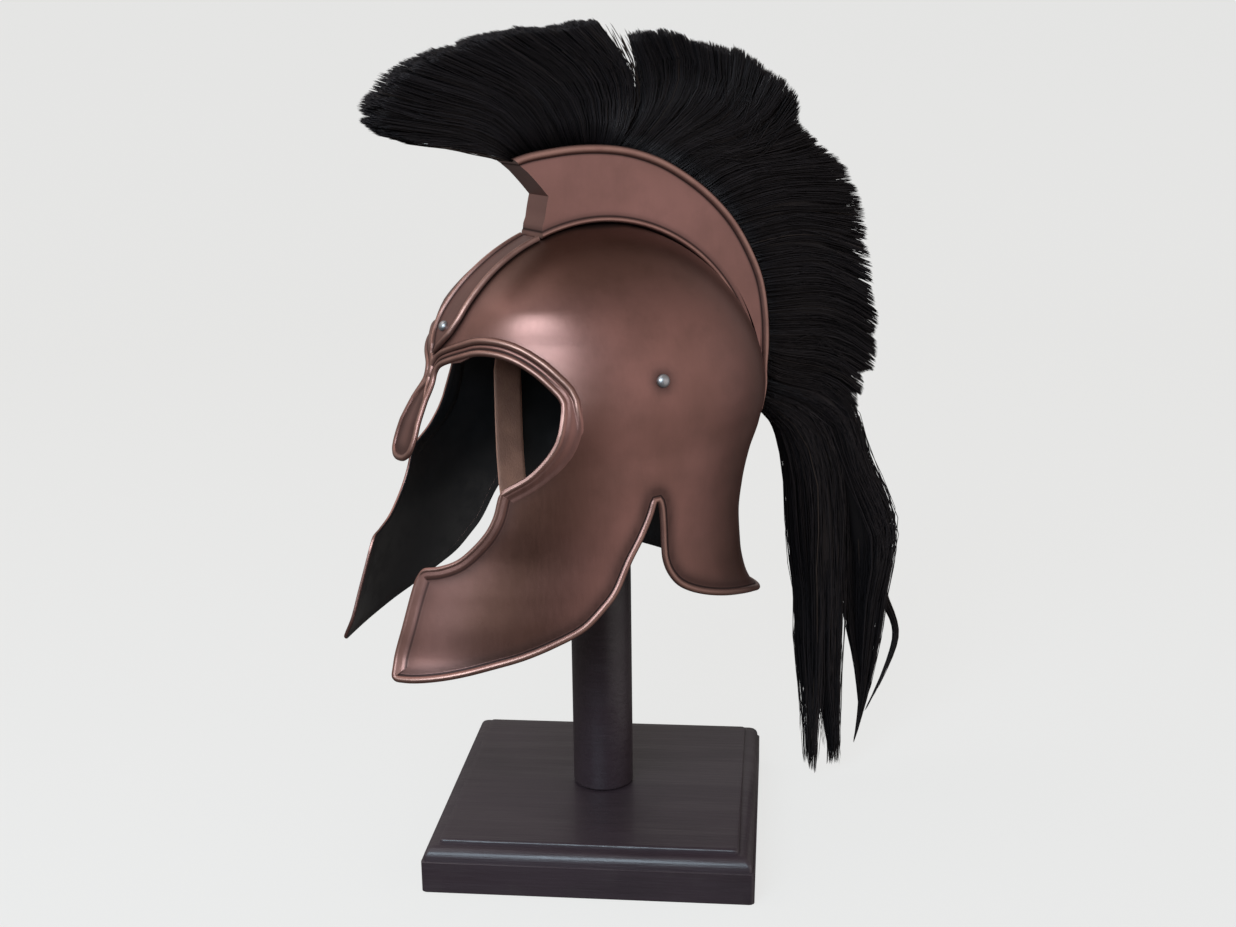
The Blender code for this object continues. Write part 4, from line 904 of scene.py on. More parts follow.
def rim(name, path, widths, rise_of, columns, less_grime_and_shade=0.0):
    """A rolled rim along an edge: a closed strip that follows the shell's surface.

    rise_of(depth) gives the rim's height over the surface at depths from the edge, and
    less_grime_and_shade takes grime and painted shade away along the path.
    """
    widths = np.broadcast_to(widths, len(path))
    steps = np.linspace(0.0, 1.0, columns) ** 0.9
    depth = widths[:, None] * steps
    start, into = path[:, None], inward(path)[:, None]
    surface = settle(start + into * depth[..., None])
    out = normals(surface)
    rise = rise_of(depth)
    rings = []
    for share in INNER_PLACES:
        spot = settle(start + into * (share * widths)[:, None, None])
        rings.append(spot - normals(spot) * (WALL + INNER_GAP))
    rings += [start - into * EDGE_OVERHANG + out[:, :1] * level for level in EDGE_LEVELS]
    count = len(rings)
    rings = np.concatenate([*rings, surface + out * rise[..., None]], axis=1)
    worn, grime = np.zeros((2, *rings.shape[:2]))
    worn[:, count:] = ramp(rise, 0.0006, 0.0016)
    worn[:, count - 1] = 0.6
    # Grime with painted shade in the rim's low parts, fading out before its far side
    low, margin = 1.0 - ramp(rise, 0.00005, 0.0006), 1.0 - ramp(steps, 0.80, 1.0)
    grime[:, count:] = low * margin * (1.0 - np.reshape(less_grime_and_shade, (-1, 1)))
    return loft(name, rings, worn=worn, grime=grime)


def mitre(strip, corner, direction, keep_before, sides=(1.0,)):
    """Cut a strip at a corner, on some sides, along the plane that halves the angle."""
    bm = bmesh.new()
    bm.from_mesh(strip.data)
    for side in sides:
        place, normal = Vector(corner * (side, 1.0, 1.0)), Vector(direction * (side, 1.0, 1.0))
        faces = list({f for v in bm.verts if (v.co - place).length < MITRE_REACH for f in v.link_faces})
        edges = list({e for f in faces for e in f.edges})
        verts = list({v for f in faces for v in f.verts})
        result = bmesh.ops.bisect_plane(bm, geom=verts + edges + faces, dist=0.000001,
                                        plane_co=place, plane_no=normal,
                                        clear_outer=keep_before, clear_inner=not keep_before)
        fresh = [g for g in result["geom_cut"] if isinstance(g, bmesh.types.BMEdge)]
        bmesh.ops.holes_fill(bm, edges=fresh, sides=0)
        bmesh.ops.recalc_face_normals(bm, faces=bm.faces)
    bm.to_mesh(strip.data)
    bm.free()


def hemmed(height, share, start):
    """A rim's rise with its small lift over the skin, which sinks away from a share on."""
    return height + RIM_LIFT - 2.0 * RIM_LIFT * ramp(share, start, 1.0)


def banded(width, height, lip_height):
    """Section of a rim with a lip at the edge and a flat band behind it."""
    def rise(depth):
        lip = ridge(depth, 0.0016, 0.0017, lip_height)
        share = depth / width
        flat = height * (1.0 - ramp(share, 0.55, 0.90)) * ramp(depth, -0.001, 0.0006)
        return hemmed(np.maximum(lip, flat), share, 0.88)
    return rise


def beaded(width, bead, height):
    """Section of a rim with one round bead."""
    def rise(depth):
        return hemmed(ridge(depth, 0.5 * bead, 0.52 * bead, height), depth / width, 0.82)
    return rise


def eye_rim(left, scale):
    """The rim round both eyes and the nose guard, widest over the brow."""
    eye = np.vstack([mirrored(left)[::-1], left[1:]])
    nose = len(left) - 1
    eye[nose, 0] = 0.0
    along = distances(eye)
    along = np.abs(along - along[nose])
    corner = float(np.interp(height_of(0.30), left[:40, 2], along[nose:][:40]))
    kink = along[np.linalg.norm(eye - on_side([BROW[-1]])[0], axis=1).argmin()]

    def rising(start, low, high):
        """Smooth step along the rim, between two distances past a place."""
        return ramp(along, start + low, start + high)

    brow = rising(corner, 0.0, 0.030) * (1.0 - rising(kink, -0.012, 0.030))
    band, past = rising(kink, -0.030, 0.012), rising(kink, -0.002, 0.016)
    crest = rising(corner, -0.004, 0.012) * (1.0 - rising(kink, -0.002, 0.019))
    widths = (0.0050 + 0.0092 * rising(corner, -0.004, 0.032) + 0.0024 * past
              - 0.0050 * rising(kink, 0.018, 0.060))

    def rise(depth):
        share, flat, beyond = depth / widths[:, None], band[:, None], past[:, None]
        return hemmed(np.maximum.reduce([
            ridge(depth, 0.0021, 0.0022, 0.00150 * scale) * (1.0 - 0.15 * flat),
            ridge(share, 0.44, 0.085, 0.00055 * scale) * brow[:, None],
            ridge(share, 0.73 + 0.12 * beyond, 0.17 - 0.04 * beyond, 0.00175 * scale) * crest[:, None],
            0.00060 * scale * flat * (1.0 - ramp(share, 0.40, 0.72)),
        ]), share, 0.86)
    return rim("rim_eye", eye, widths, rise, 34, 0.9 * band)


def make_rims(scale):
    """The rims along every edge of the shell."""
    edges = settled_edges()

    def corner(first, second):
        """Place of a corner, and the direction across its mitre."""
        return edges[first][-1], unit(tangents(edges[first])[-1] + tangents(edges[second])[0])

    pieces = [eye_rim(edges["eye"], scale)]
    mitre(pieces[0], *corner("eye", "mouth"), True, (1.0, -1.0))
    for before, key, after, width, height, lip in FACE_RIMS:
        strip = rim("rim_" + key, edges[key], width, banded(width, height * scale, lip * scale), 24)
        mitre(strip, *corner(before, key), False)
        mitre(strip, *corner(key, after), True)
        choose(strip)
        bpy.ops.object.duplicate()
        twin = bpy.context.object
        set_points(twin.data, mirrored(layer(twin.data.vertices)))
        twin.data.flip_normals()
        pieces += [strip, twin]
    half = edges["skirt"]
    half = half[half[:, 0] > 0.0010]
    skirt = np.vstack([half, settle(half[-1:] * (0.0, 1.0, 1.0)), mirrored(half)[::-1]])
    width, bead, height = SKIRT_RIM
    pieces.append(rim("rim_skirt", skirt, width, beaded(width, bead, height * scale), 22))
    mitre(pieces[-1], *corner("cheek", "skirt"), False, (1.0, -1.0))
    for piece in pieces:
        split_inside(smooth(piece, 50.0))
    return pieces


def round_corners(shell):
    """Round the shell's sharp corners on both sides."""
    edges = settled_edges()
    points = layer(shell.data.vertices)
    for first, second, radius in CORNERS:
        before, after = inward(edges[first])[-1], inward(edges[second])[0]
        for side in (np.ones(3), FLIP):
            rounded(points, edges[second][0] * side, before * side, after * side, radius)
    set_points(shell.data, points)


def rounded(points, corner, before, after, radius):
    """Move the points near a sharp corner so that its outline follows an arc."""
    away = points - corner
    depths = np.stack([away @ before, away @ after], axis=1)
    near = (depths < radius).all(axis=1) & (np.linalg.norm(away, axis=1) < 3.0 * radius)
    lean = float(before @ after)
    reach = radius - depths[near]
    share = reach.max(axis=1) / np.maximum(np.linalg.norm(reach, axis=1), 1e-9)
    sides = np.stack([before - lean * after, after - lean * before]) / (1.0 - lean ** 2)
    points[near] += (reach * (1.0 - share)[:, None]) @ sides


def split_inside(strip):
    """Turn a rim's faces outwards and give its inner faces the inside paint."""
    mesh = strip.data
    mesh.materials.clear()
    for surface in shell_surfaces():
        mesh.materials.append(surface)
    centres, facing = layer(mesh.polygons, "center"), layer(mesh.polygons, "normal")
    out = normals(centres)
    deep = np.nan_to_num(((centres - settle(centres)) * out).sum(axis=1)) < -0.7 * WALL
    along = np.nan_to_num((out * facing).sum(axis=1))
    if along[~deep].sum() < 0.0:
        mesh.flip_normals()
        along = -along
    mesh.polygons.foreach_set("material_index", (deep & (along < -0.3)).astype(int))
    mesh.update()


# Grime and painted shade on the skin: how far from each kind of line it starts, how far it fades
# and its greatest strength
RIM_GRIME_AND_SHADE = 0.0085
CREST_GRIME_AND_SHADE = 0.0005
RIVET_GRIME_AND_SHADE = 0.0052
GRIME_AND_SHADE_FADE = 0.009
GRIME_AND_SHADE_STRENGTH = 0.62
CROWN_STRENGTH = 0.9


def paint_skin(skin):
    """Darken the skin with grime and painted shade beside its rims, the crest's foot, the brow strip and the
    side rivets, and with painted shade at the crown under the crest.
    """
    spots = [(point, RIM_GRIME_AND_SHADE) for path in shell_edges().values()
             for side in (path, mirrored(path)) for point in evenly(side, 0.003)]
    angles = np.linspace(-21.0, 98.0, 160)
    for aside in (-0.5 * CREST_THICKNESS, 0.5 * CREST_THICKNESS):
        spots += [(point, CREST_GRIME_AND_SHADE) for point in over_bowl(angles, np.full(len(angles), aside))]
    for angle in np.linspace(-69.0, -22.0, 60):
        half = table_row(STRIP_ROWS, angle)[0] * STRIP_HALF_WIDTH
        spots += [(point, 0.0) for point in over_bowl(angle, (half, -half))]
    point = on_side([SIDE_RIVET])[0]
    spots += [(point, RIVET_GRIME_AND_SHADE), (mirrored(point), RIVET_GRIME_AND_SHADE)]
    tree = KDTree(len(spots))
    for index, (point, _) in enumerate(spots):
        tree.insert(point, index)
    tree.balance()
    points = layer(skin.data.vertices)
    found = [tree.find(point) for point in points]
    away = np.array([distance - spots[index][1] for _, index, distance in found])
    beside = GRIME_AND_SHADE_STRENGTH * np.maximum(0.0, 1.0 - np.maximum(away, 0.0) / GRIME_AND_SHADE_FADE) ** 2
    # Painted shade on the crown just under the crest
    crown = CROWN_STRENGTH * ramp(level_of(points[:, 2]), *CROWN_SHADE)
    paint(skin, grime=np.maximum(beside, crown), worn=np.zeros(len(points)), patch=brown_patches(points))


def brown_patches(points):
    """Strength of the brown patches at points, partly patina and partly painted shade, with painted shade
    over the crown near the crest.
    """
    forward, level = (CROWN_Y - points[:, 1]) / BOWL_REACH, level_of(points[:, 2])
    low, high, strength = CROWN_SHADE_PATCH
    left = 1.0 - strength * ramp(level, low, high)
    for spot_forward, spot_level, reach, strength in PATINA_AND_SHADE_PATCHES:
        away = np.hypot(forward - spot_forward, 1.15 * (level - spot_level)) / reach
        left *= 1.0 - strength * np.exp(-away ** 2)
    return 1.0 - left


# Crest and brow strip


def crest_share(angle, column):
    """Share of the crest's height at angles: 0 for its top, 1 for its foot."""
    shares = [table_row(CREST_ROWS, a)[column] for a in np.ravel(angle)]
    return CREST_HEIGHT * np.reshape(shares, np.shape(angle))


def crest_foot(angle):
    """Distance of the crest's foot from the bowl's centre."""
    return bowl_radius(angle) + SEAT_GAP + crest_share(angle, 1)


def crest_top(angle):
    """Distance of the crest's top from the bowl's centre."""
    return bowl_radius(angle) + crest_share(angle, 0)


# Crest section: aside in millimetres, then height from the foot (or, where the third
# value is 1, depth below the top), with wear, and grime with painted shade under the foot, beside the beads
# and in the channel
CREST_SECTION = ((0.0, -1.1, 0, 0.0, 1.0), (9.0, -1.3, 0, 0.0, 1.0), (14.2, 0.1, 0, 0.0, 0.8),
    (15.7, 0.3, 0, 0.2, 0.4), (16.3, 1.0, 0, 0.7, 0.0), (16.5, 1.9, 0, 0.8, 0.0), (16.3, 2.8, 0, 0.6, 0.0),
    (15.8, 3.5, 0, 0.2, 0.4), (15.1, 4.0, 0, 0.0, 1.0), (14.95, 4.5, 0, 0.0, 0.9),
    (15.0, 5.4, 0, 0.0, 0.35), (15.0, 8.0, 0, 0.0, 0.1), (15.0, 8.0, 1, 0.0, 0.1),
    (14.97, 6.9, 1, 0.0, 0.45), (14.85, 6.3, 1, 0.0, 1.0), (15.1, 5.8, 1, 0.0, 0.9),
    (15.8, 5.2, 1, 0.3, 0.2), (16.3, 4.4, 1, 0.8, 0.0), (16.6, 3.4, 1, 1.0, 0.0), (16.6, 2.3, 1, 1.0, 0.0),
    (16.3, 1.2, 1, 0.8, 0.0), (15.7, 0.4, 1, 0.5, 0.0), (14.8, 0.0, 1, 0.3, 0.0), (13.9, 0.1, 1, 0.2, 0.2),
    (13.3, 0.8, 1, 0.0, 0.7), (13.1, 2.2, 1, 0.0, 1.0), (7.0, 2.6, 1, 0.0, 1.0), (0.0, 2.6, 1, 0.0, 1.0))
CREST_STATIONS = 150
PLATE_LINES = 7
PLATE_ASIDE = 15.0
# A little grime with painted shade over the sunken side plate
PLATE_GRIME_AND_SHADE = 0.06
# Lighter front end of the crest: partly wear, partly painted reflection
FRONT_WEAR_AND_REFLECTION = 0.07

# Distances of the plate from the foot and the top, and the heights of crest under which
# the plate's margins and the beads shrink
PLATE_MARGINS = (0.0054, 0.0069)
PLATE_SHRINK = 0.014
BEAD_SHRINK = 0.0165


def make_crest_piece():
    """The crest box with a rounded bead along both edges and its folded front."""
    split = next(i for i, row in enumerate(CREST_SECTION) if row[2])
    front, rear = CREST_ROWS[0][0], CREST_ROWS[-1][0]
    notch_angle, notch_share = CREST_NOTCH
    height = 1000.0 * float(crest_top(front) - crest_foot(front))
    shares = [1.0 - row[1] / height if row[2] else row[1] / height for row in CREST_SECTION]
    low, high = shares[split - 1:split + 1]
    inner = np.linspace(low, high, PLATE_LINES + 2)[1:-1]
    inner[np.abs(inner - notch_share).argmin()] = notch_share
    plate = [(PLATE_ASIDE, None, None, 0.0, PLATE_GRIME_AND_SHADE)] * PLATE_LINES
    rows = [*CREST_SECTION[:split], *plate, *CREST_SECTION[split:]]
    rings = np.zeros((CREST_STATIONS, len(rows), 3))
    for k, share in enumerate([*shares[:split], *inner, *shares[split:]]):
        aside, offset, from_top = rows[k][:3]
        fold = share / notch_share if share < notch_share else (1.0 - share) / (1.0 - notch_share)
        begin = front + (notch_angle - front) * min(max(fold, 0.0), 1.0)
        angles = begin + (rear - begin) * np.linspace(0.0, 1.0, CREST_STATIONS)
        foot, top = crest_foot(angles), crest_top(angles)
        if offset is None:
            shrink = np.minimum((top - foot) / PLATE_SHRINK, 1.0)
            foot, top = foot + PLATE_MARGINS[0] * shrink, top - PLATE_MARGINS[1] * shrink
            radius = foot + (top - foot) * (share - low) / (high - low)
        else:
            reach = offset * 0.001 * np.minimum((top - foot) / BEAD_SHRINK, 1.0)
            radius = top - reach if from_top else foot + reach
        rings[:, k] = np.stack([np.full(CREST_STATIONS, aside * 0.001), *polar(angles, radius)], axis=1)
    rings = np.concatenate([rings, mirrored(rings)[:, -2:0:-1], rings[:, :1]], axis=1)
    wear = np.array([row[3:] for row in rows])
    wear = np.concatenate([wear, wear[-2:0:-1], wear[:1]])
    worn, grime = (np.tile(column, (CREST_STATIONS, 1)) for column in wear.T)
    # The front end is a little lighter, partly wear and partly painted reflection
    worn[0] = np.maximum(worn[0], FRONT_WEAR_AND_REFLECTION)
    return cap_across(reshaped_grid("crest_box_dressed", rings, worn=worn, grime=grime), len(rows))


def cap_across(crest, half_count):
    """Close both ends of the crest with faces from side to side."""
    bm = bmesh.new()
    bm.from_mesh(crest.data)
    bm.verts.ensure_lookup_table()
    columns = 2 * half_count - 1
    for first in (0, (CREST_STATIONS - 1) * columns):
        row = bm.verts[first:first + columns - 1]
        bm.faces.new([row[0], row[1], row[-1]])
        for k in range(1, half_count - 2):
            bm.faces.new([row[k], row[k + 1], row[-k - 1], row[-k]])
        bm.faces.new([row[half_count - 2], row[half_count - 1], row[2 - half_count]])
    bmesh.ops.remove_doubles(bm, verts=bm.verts, dist=MERGE_DISTANCE)
    bmesh.ops.recalc_face_normals(bm, faces=bm.faces)
    bm.to_mesh(crest.data)
    bm.free()
    return crest


# Brow strip section: share of the bead's width from the strip's edge, rise in
# millimetres above its floor, wear, and grime with painted shade at the beads' feet
STRIP_BEAD = ((0.0, -0.9, 0.0, 0.8), (0.02, 0.2, 0.2, 0.3), (0.1, 1.1, 0.7, 0.0), (0.25, 1.9, 1.0, 0.0),
    (0.42, 2.3, 1.0, 0.0), (0.58, 2.3, 1.0, 0.0), (0.75, 1.8, 0.8, 0.0), (0.9, 0.9, 0.3, 0.3),
    (0.98, 0.25, 0.0, 0.9), (1.1, 0.0, 0.0, 1.0), (1.35, 0.0, 0.0, 0.45))
STRIP_STATIONS = 90
STRIP_BEAD_WIDTH = 0.0046
STRIP_UNDERSIDE = np.linspace(-0.8, 0.8, 7)


def make_strip_piece():
    """Sunken strip between two round beads that meet in a spearhead."""
    share = np.sin(np.linspace(0.0, 0.5 * math.pi, STRIP_STATIONS))
    rings, worn, grime = [], [], []
    for angle in STRIP_ROWS[0][0] + (STRIP_ROWS[-1][0] - STRIP_ROWS[0][0]) * share:
        half = table_row(STRIP_ROWS, angle)[0] * STRIP_HALF_WIDTH
        bead = min(STRIP_BEAD_WIDTH, 0.62 * half)
        scale = min(1.0, 0.35 + 0.65 * bead / STRIP_BEAD_WIDTH)
        side = [(half - s * bead, r * scale, w, g) for s, r, w, g in STRIP_BEAD if s * bead < half]
        side += [(side[-1][0] * t, side[-1][1], 0.0, 0.15) for t in (0.66, 0.33)]
        while len(side) < len(STRIP_BEAD) + 2:
            side.append((side[-1][0] * 0.5, side[-1][1], 0.0, 0.6))
        profile = side + [(0.0, side[-1][1], 0.0, 0.1)] + [(-x, *rest) for x, *rest in side[::-1]]
        x, rise, wear, dirt = np.array(profile).T
        rings.append(np.vstack([over_bowl(angle, x, SEAT_GAP + STRIP_THICKNESS + 0.001 * rise),
                                over_bowl(angle, STRIP_UNDERSIDE * half, 0.5 * SEAT_GAP)]))
        worn.append(np.append(wear, 0.0 * STRIP_UNDERSIDE))
        # Grime with painted shade on the floor between the beads and underneath
        grime.append(np.append(dirt, 0.5 + 0.0 * STRIP_UNDERSIDE))
    return loft("brow_strip_dressed", np.array(rings), worn=np.array(worn), grime=np.array(grime))


# Rivets: diameter, rise and height of the seat over the shell
BROW_RIVET = (0.0078, 0.0030, SEAT_GAP + STRIP_THICKNESS)
TEMPLE_RIVET = (0.0095, 0.0034, 0.0)


def rivet(name, point, diameter, rise, seat):
    """A domed rivet with a small flange, set along the surface's normal."""
    deselect()
    bpy.ops.mesh.primitive_uv_sphere_add(segments=32, ring_count=24, radius=0.5 * diameter)
    half = {"plane_co": (0, 0, -0.1 * diameter), "plane_no": (0, 0, 1), "clear_inner": True, "use_fill": True}
    flatter = {"value": (1.0, 1.0, 2.0 * rise / diameter)}
    piece = edit(named(bpy.context.object, name), (bpy.ops.mesh.bisect, half), EVERYTHING,
                 (bpy.ops.transform.resize, flatter))
    x, y, _ = layer(piece.data.vertices).T
    # Grime with painted shade darkens the ring at the rivet's foot
    paint(piece, grime=0.85 * ramp(np.hypot(x, y) / (0.5 * diameter), 0.86, 1.0))
    normal = Vector(normals(np.asarray(point)[None])[0])
    turn = normal.to_track_quat("Z", "Y").to_matrix().to_4x4()
    turn.translation = Vector(point) + normal * seat
    piece.data.transform(turn)
    return smooth(piece, 60.0)


# Strap: places across its width and how far its faces are thinned there, steps down
# the wall and round the loop, and the points of its section along both worn edges
STRAP_PLACES = np.array((0.012, 0.04, 0.12, 0.30, 0.50, 0.70, 0.88, 0.96, 0.988))
STRAP_THINNING = np.array((0.45, 0.12, 0.0, 0.0, 0.0, 0.0, 0.0, 0.12, 0.45))
STRAP_WALL_STEPS = 26
STRAP_LOOP_STEPS = 61
STRAP_EDGES = (0, 1, 9, 10, 11, 19)


def strap_centre(height):
    """The strap leans forward from the temple to the chin."""
    share = min(max((STRAP_TOP - height) / (STRAP_TOP - STRAP_BOTTOM), 0.0), 1.0)
    return STRAP_TEMPLE_Y + (STRAP_CHIN_Y - STRAP_TEMPLE_Y) * share ** STRAP_LEAN_POWER


def strap_reach(y, height):
    """Distance aside at which the strap lies against the wall."""
    return half_width(y, np.full(np.shape(y), height)) - WALL - STRAP_GAP


def strap_ring(x, height, tilt):
    """Section of the strap across its width, with rounded edges."""
    centre = strap_centre(height)
    front, rear = centre - 0.5 * STRAP_WIDTH, centre + 0.5 * STRAP_WIDTH
    rivet_y, rivet_z = side_share(*SIDE_RIVET)
    tab = ramp(height, rivet_z - 2.0 * STRAP_TAB_MARGIN, rivet_z - STRAP_TAB_MARGIN)
    rear += tab * max(rivet_y + STRAP_TAB_MARGIN - rear, 0.0)
    into = STRAP_THICKNESS * np.array((-math.cos(tilt), 0.0, math.sin(tilt)))
    ys = front + (rear - front) * STRAP_PLACES
    face = np.stack([np.minimum(x, strap_reach(ys, height)), ys, np.full(len(ys), height)], axis=1)
    outer = face + into * STRAP_THINNING[:, None]
    inner = face + into * (1.0 - STRAP_THINNING)[:, None]
    first = face[:1] + 0.5 * into + np.array((0.0, front - ys[0], 0.0))
    last = face[-1:] + 0.5 * into + np.array((0.0, rear - ys[-1], 0.0))
    return np.vstack([first, outer, last, inner[::-1]])


def make_strap_piece():
    """Leather strap that hangs in a loop between the side rivets."""
    heights = np.linspace(STRAP_TOP, STRAP_LIFT_OFF, STRAP_WALL_STEPS)[:-1]
    rings = [strap_ring(BOWL_HALF_WIDTH, height, 0.0) for height in heights]
    reach = float(strap_reach(strap_centre(STRAP_LIFT_OFF), STRAP_LIFT_OFF))
    drop = STRAP_LIFT_OFF - STRAP_BOTTOM
    for share in np.cos(0.5 * math.pi * np.linspace(0.0, 1.0, STRAP_LOOP_STEPS)[:-1]):
        tilt = math.atan2(reach, STRAP_LOOP_POWER * drop * share ** (STRAP_LOOP_POWER - 1.0))
        rings.append(strap_ring(share * reach, STRAP_BOTTOM + drop * share ** STRAP_LOOP_POWER, tilt))
    left = np.array(rings)
    middle = strap_ring(0.0, STRAP_BOTTOM, 0.5 * math.pi)
    middle[:, 0] = 0.0
    whole = np.concatenate([left, middle[None], mirrored(left)[::-1]])
    worn = np.zeros(whole.shape[:2])
    worn[:, STRAP_EDGES] = 1.0
    return loft("chin_strap_dressed", whole, worn=worn)


# Hair

HAIR_SIDES = 3
HAIR_ROOT_DEPTH = 0.0025
BRUSH_STEPS = 8
TAIL_STEPS = 12
BLUNT_END = 0.975
ROOT_PULL = 0.42
TIP_PULL = 0.48
TUFT_SIZE = 0.0095
NOTCH_BLEND = 0.016
NOTCH_SLANT = 0.50
NOTCH_STRANDS = 26
HANGING_STRANDS = 60

# Spreads over the tufts and over their strands: of the leans at root and tip, in
# degrees, and of the tips along the strands, in metres
ROOT_SPREAD = (1.4, 1.2)
TIP_SPREAD = (2.2, 1.5)
END_SPREAD = (0.0009, 0.0003)
SHORT_SHARE = 0.22
SHORTEST = 0.035
LOOSE_SHARE = 0.03
LOOSE_REACH = 0.0012
TUFT_PULL = 0.16
BROWN_SHARES = (0.025, 0.03)

# Tips: how far they stand out, how much less at a tuft's rim and at the brush's sides
TIP_RISE = 0.0009
TUFT_ROUNDING = 0.0020
SIDE_ROUNDING = 0.0045

# Hanging strands: spread of their places, of their drop and of their shortening
HANGING_SPREAD = (0.006, 0.0030, 0.020)

# Strands in the notch: spread of their tip angles and tip leans, closeness to the middle,
# spread of their shortening and tone
NOTCH_SPREAD = (4.6, 14.0)
NOTCH_SIDE = 0.35
NOTCH_SHORTENING = 0.022
PALE_TONE = 0.97

# Half width of the brush at the root, on the way and at the tip, and sway of its strands
BRUSH_WIDTHS = (0.57, 0.55, 0.86)
SWAY = 0.0005

# Share of the strands, strands in a clump, places of the parted tips and looseness of
# the strands in a clump, for each tail lock
TAIL_CLUMPS = ((0.54, 26, (-0.52, 0.58), 0.11), (0.42, 24, (0.0,), 0.11), (0.04, 12, (0.0,), 0.45))
CORE_STEPS = 14


def hair_mesh(name, paths, thickness, shade, tip_share):
    """Strands as three-sided tubes with blunt tips. paths is strands x points x 3."""
    count, steps = paths.shape[:2]
    along = unit(np.gradient(paths, axis=1))
    helper = unit(np.cross(along, (1.0, 0.0, 0.0)))
    other = np.cross(along, helper)
    place = np.linspace(0.0, 1.0, steps)
    taper = np.minimum(1.0, 0.6 + 1.8 * place) * (1.0 - (1.0 - tip_share) * place ** 2.2)
    radius = 0.5 * thickness[:, None] * taper[None]
    rings = steps - 1
    turns = 2.0 * math.pi * np.arange(HAIR_SIDES) / HAIR_SIDES
    corners = [paths + (helper * math.cos(t) + other * math.sin(t)) * radius[..., None] for t in turns]
    body = np.stack(corners, axis=2)[:, :rings].reshape(count, rings * HAIR_SIDES, 3)
    points = np.concatenate([body, paths[:, -1:]], axis=1)
    per = rings * HAIR_SIDES + 1
    side = np.arange(HAIR_SIDES)
    following = (side + 1) % HAIR_SIDES
    ring = np.stack([side, following, following + HAIR_SIDES, side + HAIR_SIDES], axis=1)
    quads = ring[None] + np.arange(0, (rings - 1) * HAIR_SIDES, HAIR_SIDES)[:, None, None]
    last = (rings - 1) * HAIR_SIDES
    tips = [*zip(last + side, last + following, [per - 1] * HAIR_SIDES), (2, 1, 0)]
    start = np.arange(count)[:, None, None] * per
    quads = (start + quads.reshape(1, -1, 4)).reshape(-1, 4)
    tips = (start + np.array(tips)[None]).reshape(-1, 3)
    mesh = bpy.data.meshes.new(name)
    mesh.from_pydata(points.reshape(-1, 3).tolist(), [], quads.tolist() + tips.tolist())
    mesh.validate()
    piece = placed(name, mesh)
    paint(piece, shade=np.repeat(shade, per))
    mesh.shade_smooth()
    return piece


def strand_steps(steps):
    """Places along a strand, the last ones close together for a blunt end."""
    return np.append(np.linspace(0.0, BLUNT_END, steps - 1), 1.0)


def tip_places(rows):
    """Places of a table's rows along the line of the tips, in metres."""
    _, _, angle, reach, _ = np.array(rows).T
    return distances(np.stack(polar(angle, reach * PLUME_REACH), axis=1))


def flow_at(rows, place):
    """Root angle, root lean, tip angle, tip reach and tip lean at places along the tips."""
    return np.array([np.interp(place, tip_places(rows), column) for column in np.array(rows).T])


def direction(angle):
    """Side-view directions at angles from the vertical."""
    return np.stack([np.sin(np.radians(angle)), np.cos(np.radians(angle))], axis=-1)


def flow_paths(flow, t, further):
    """Side-view curves from the crest's top out to the tips: strands x points x (y, z).

    further moves the tips along the strands by some metres.
    """
    root_angle, lean, tip_angle, reach, tip_lean = flow
    root = np.stack(polar(root_angle, crest_top(root_angle) - HAIR_ROOT_DEPTH), axis=-1)
    tip = np.stack(polar(tip_angle, reach * PLUME_REACH), axis=-1)
    first, last = direction(lean), direction(tip_lean)
    length = np.linalg.norm(tip - root, axis=-1)[:, None]
    tip = tip + last * further[:, None]
    bends = root + ROOT_PULL * length * first, tip - TIP_PULL * length * last
    t = t[None, :, None]
    root, tip, start, end = (p[:, None] for p in (root, tip, *bends))
    return root * (1 - t) ** 3 + 3 * start * t * (1 - t) ** 2 + 3 * end * t ** 2 * (1 - t) + tip * t ** 3


def shades(rng, tufts, owner, brown_share):
    """Tones of the strands, alike within a tuft, with a few brown ones."""
    shade = 0.42 + 0.11 * rng.standard_normal(tufts)[owner] + 0.17 * rng.standard_normal(len(owner))
    brown = rng.random(len(owner)) < brown_share
    return np.where(brown, rng.uniform(0.82, 0.97, len(owner)), np.clip(shade, 0.0, 0.79))


def near_notch(place, length, notch):
    """1 beside the notch in the brush, 0 away from it. notch is 0, 1 or None."""
    if notch is None:
        return np.zeros(len(place))
    return np.exp(-((place - notch * length) / NOTCH_BLEND) ** 2)


def slant(paths, beside, t):
    """Turn the sides of the notch obliquely, so that it opens towards the right front."""
    paths[..., 1] -= NOTCH_SLANT * beside[:, None] * t[None] ** 1.5 * paths[..., 0]
    return paths


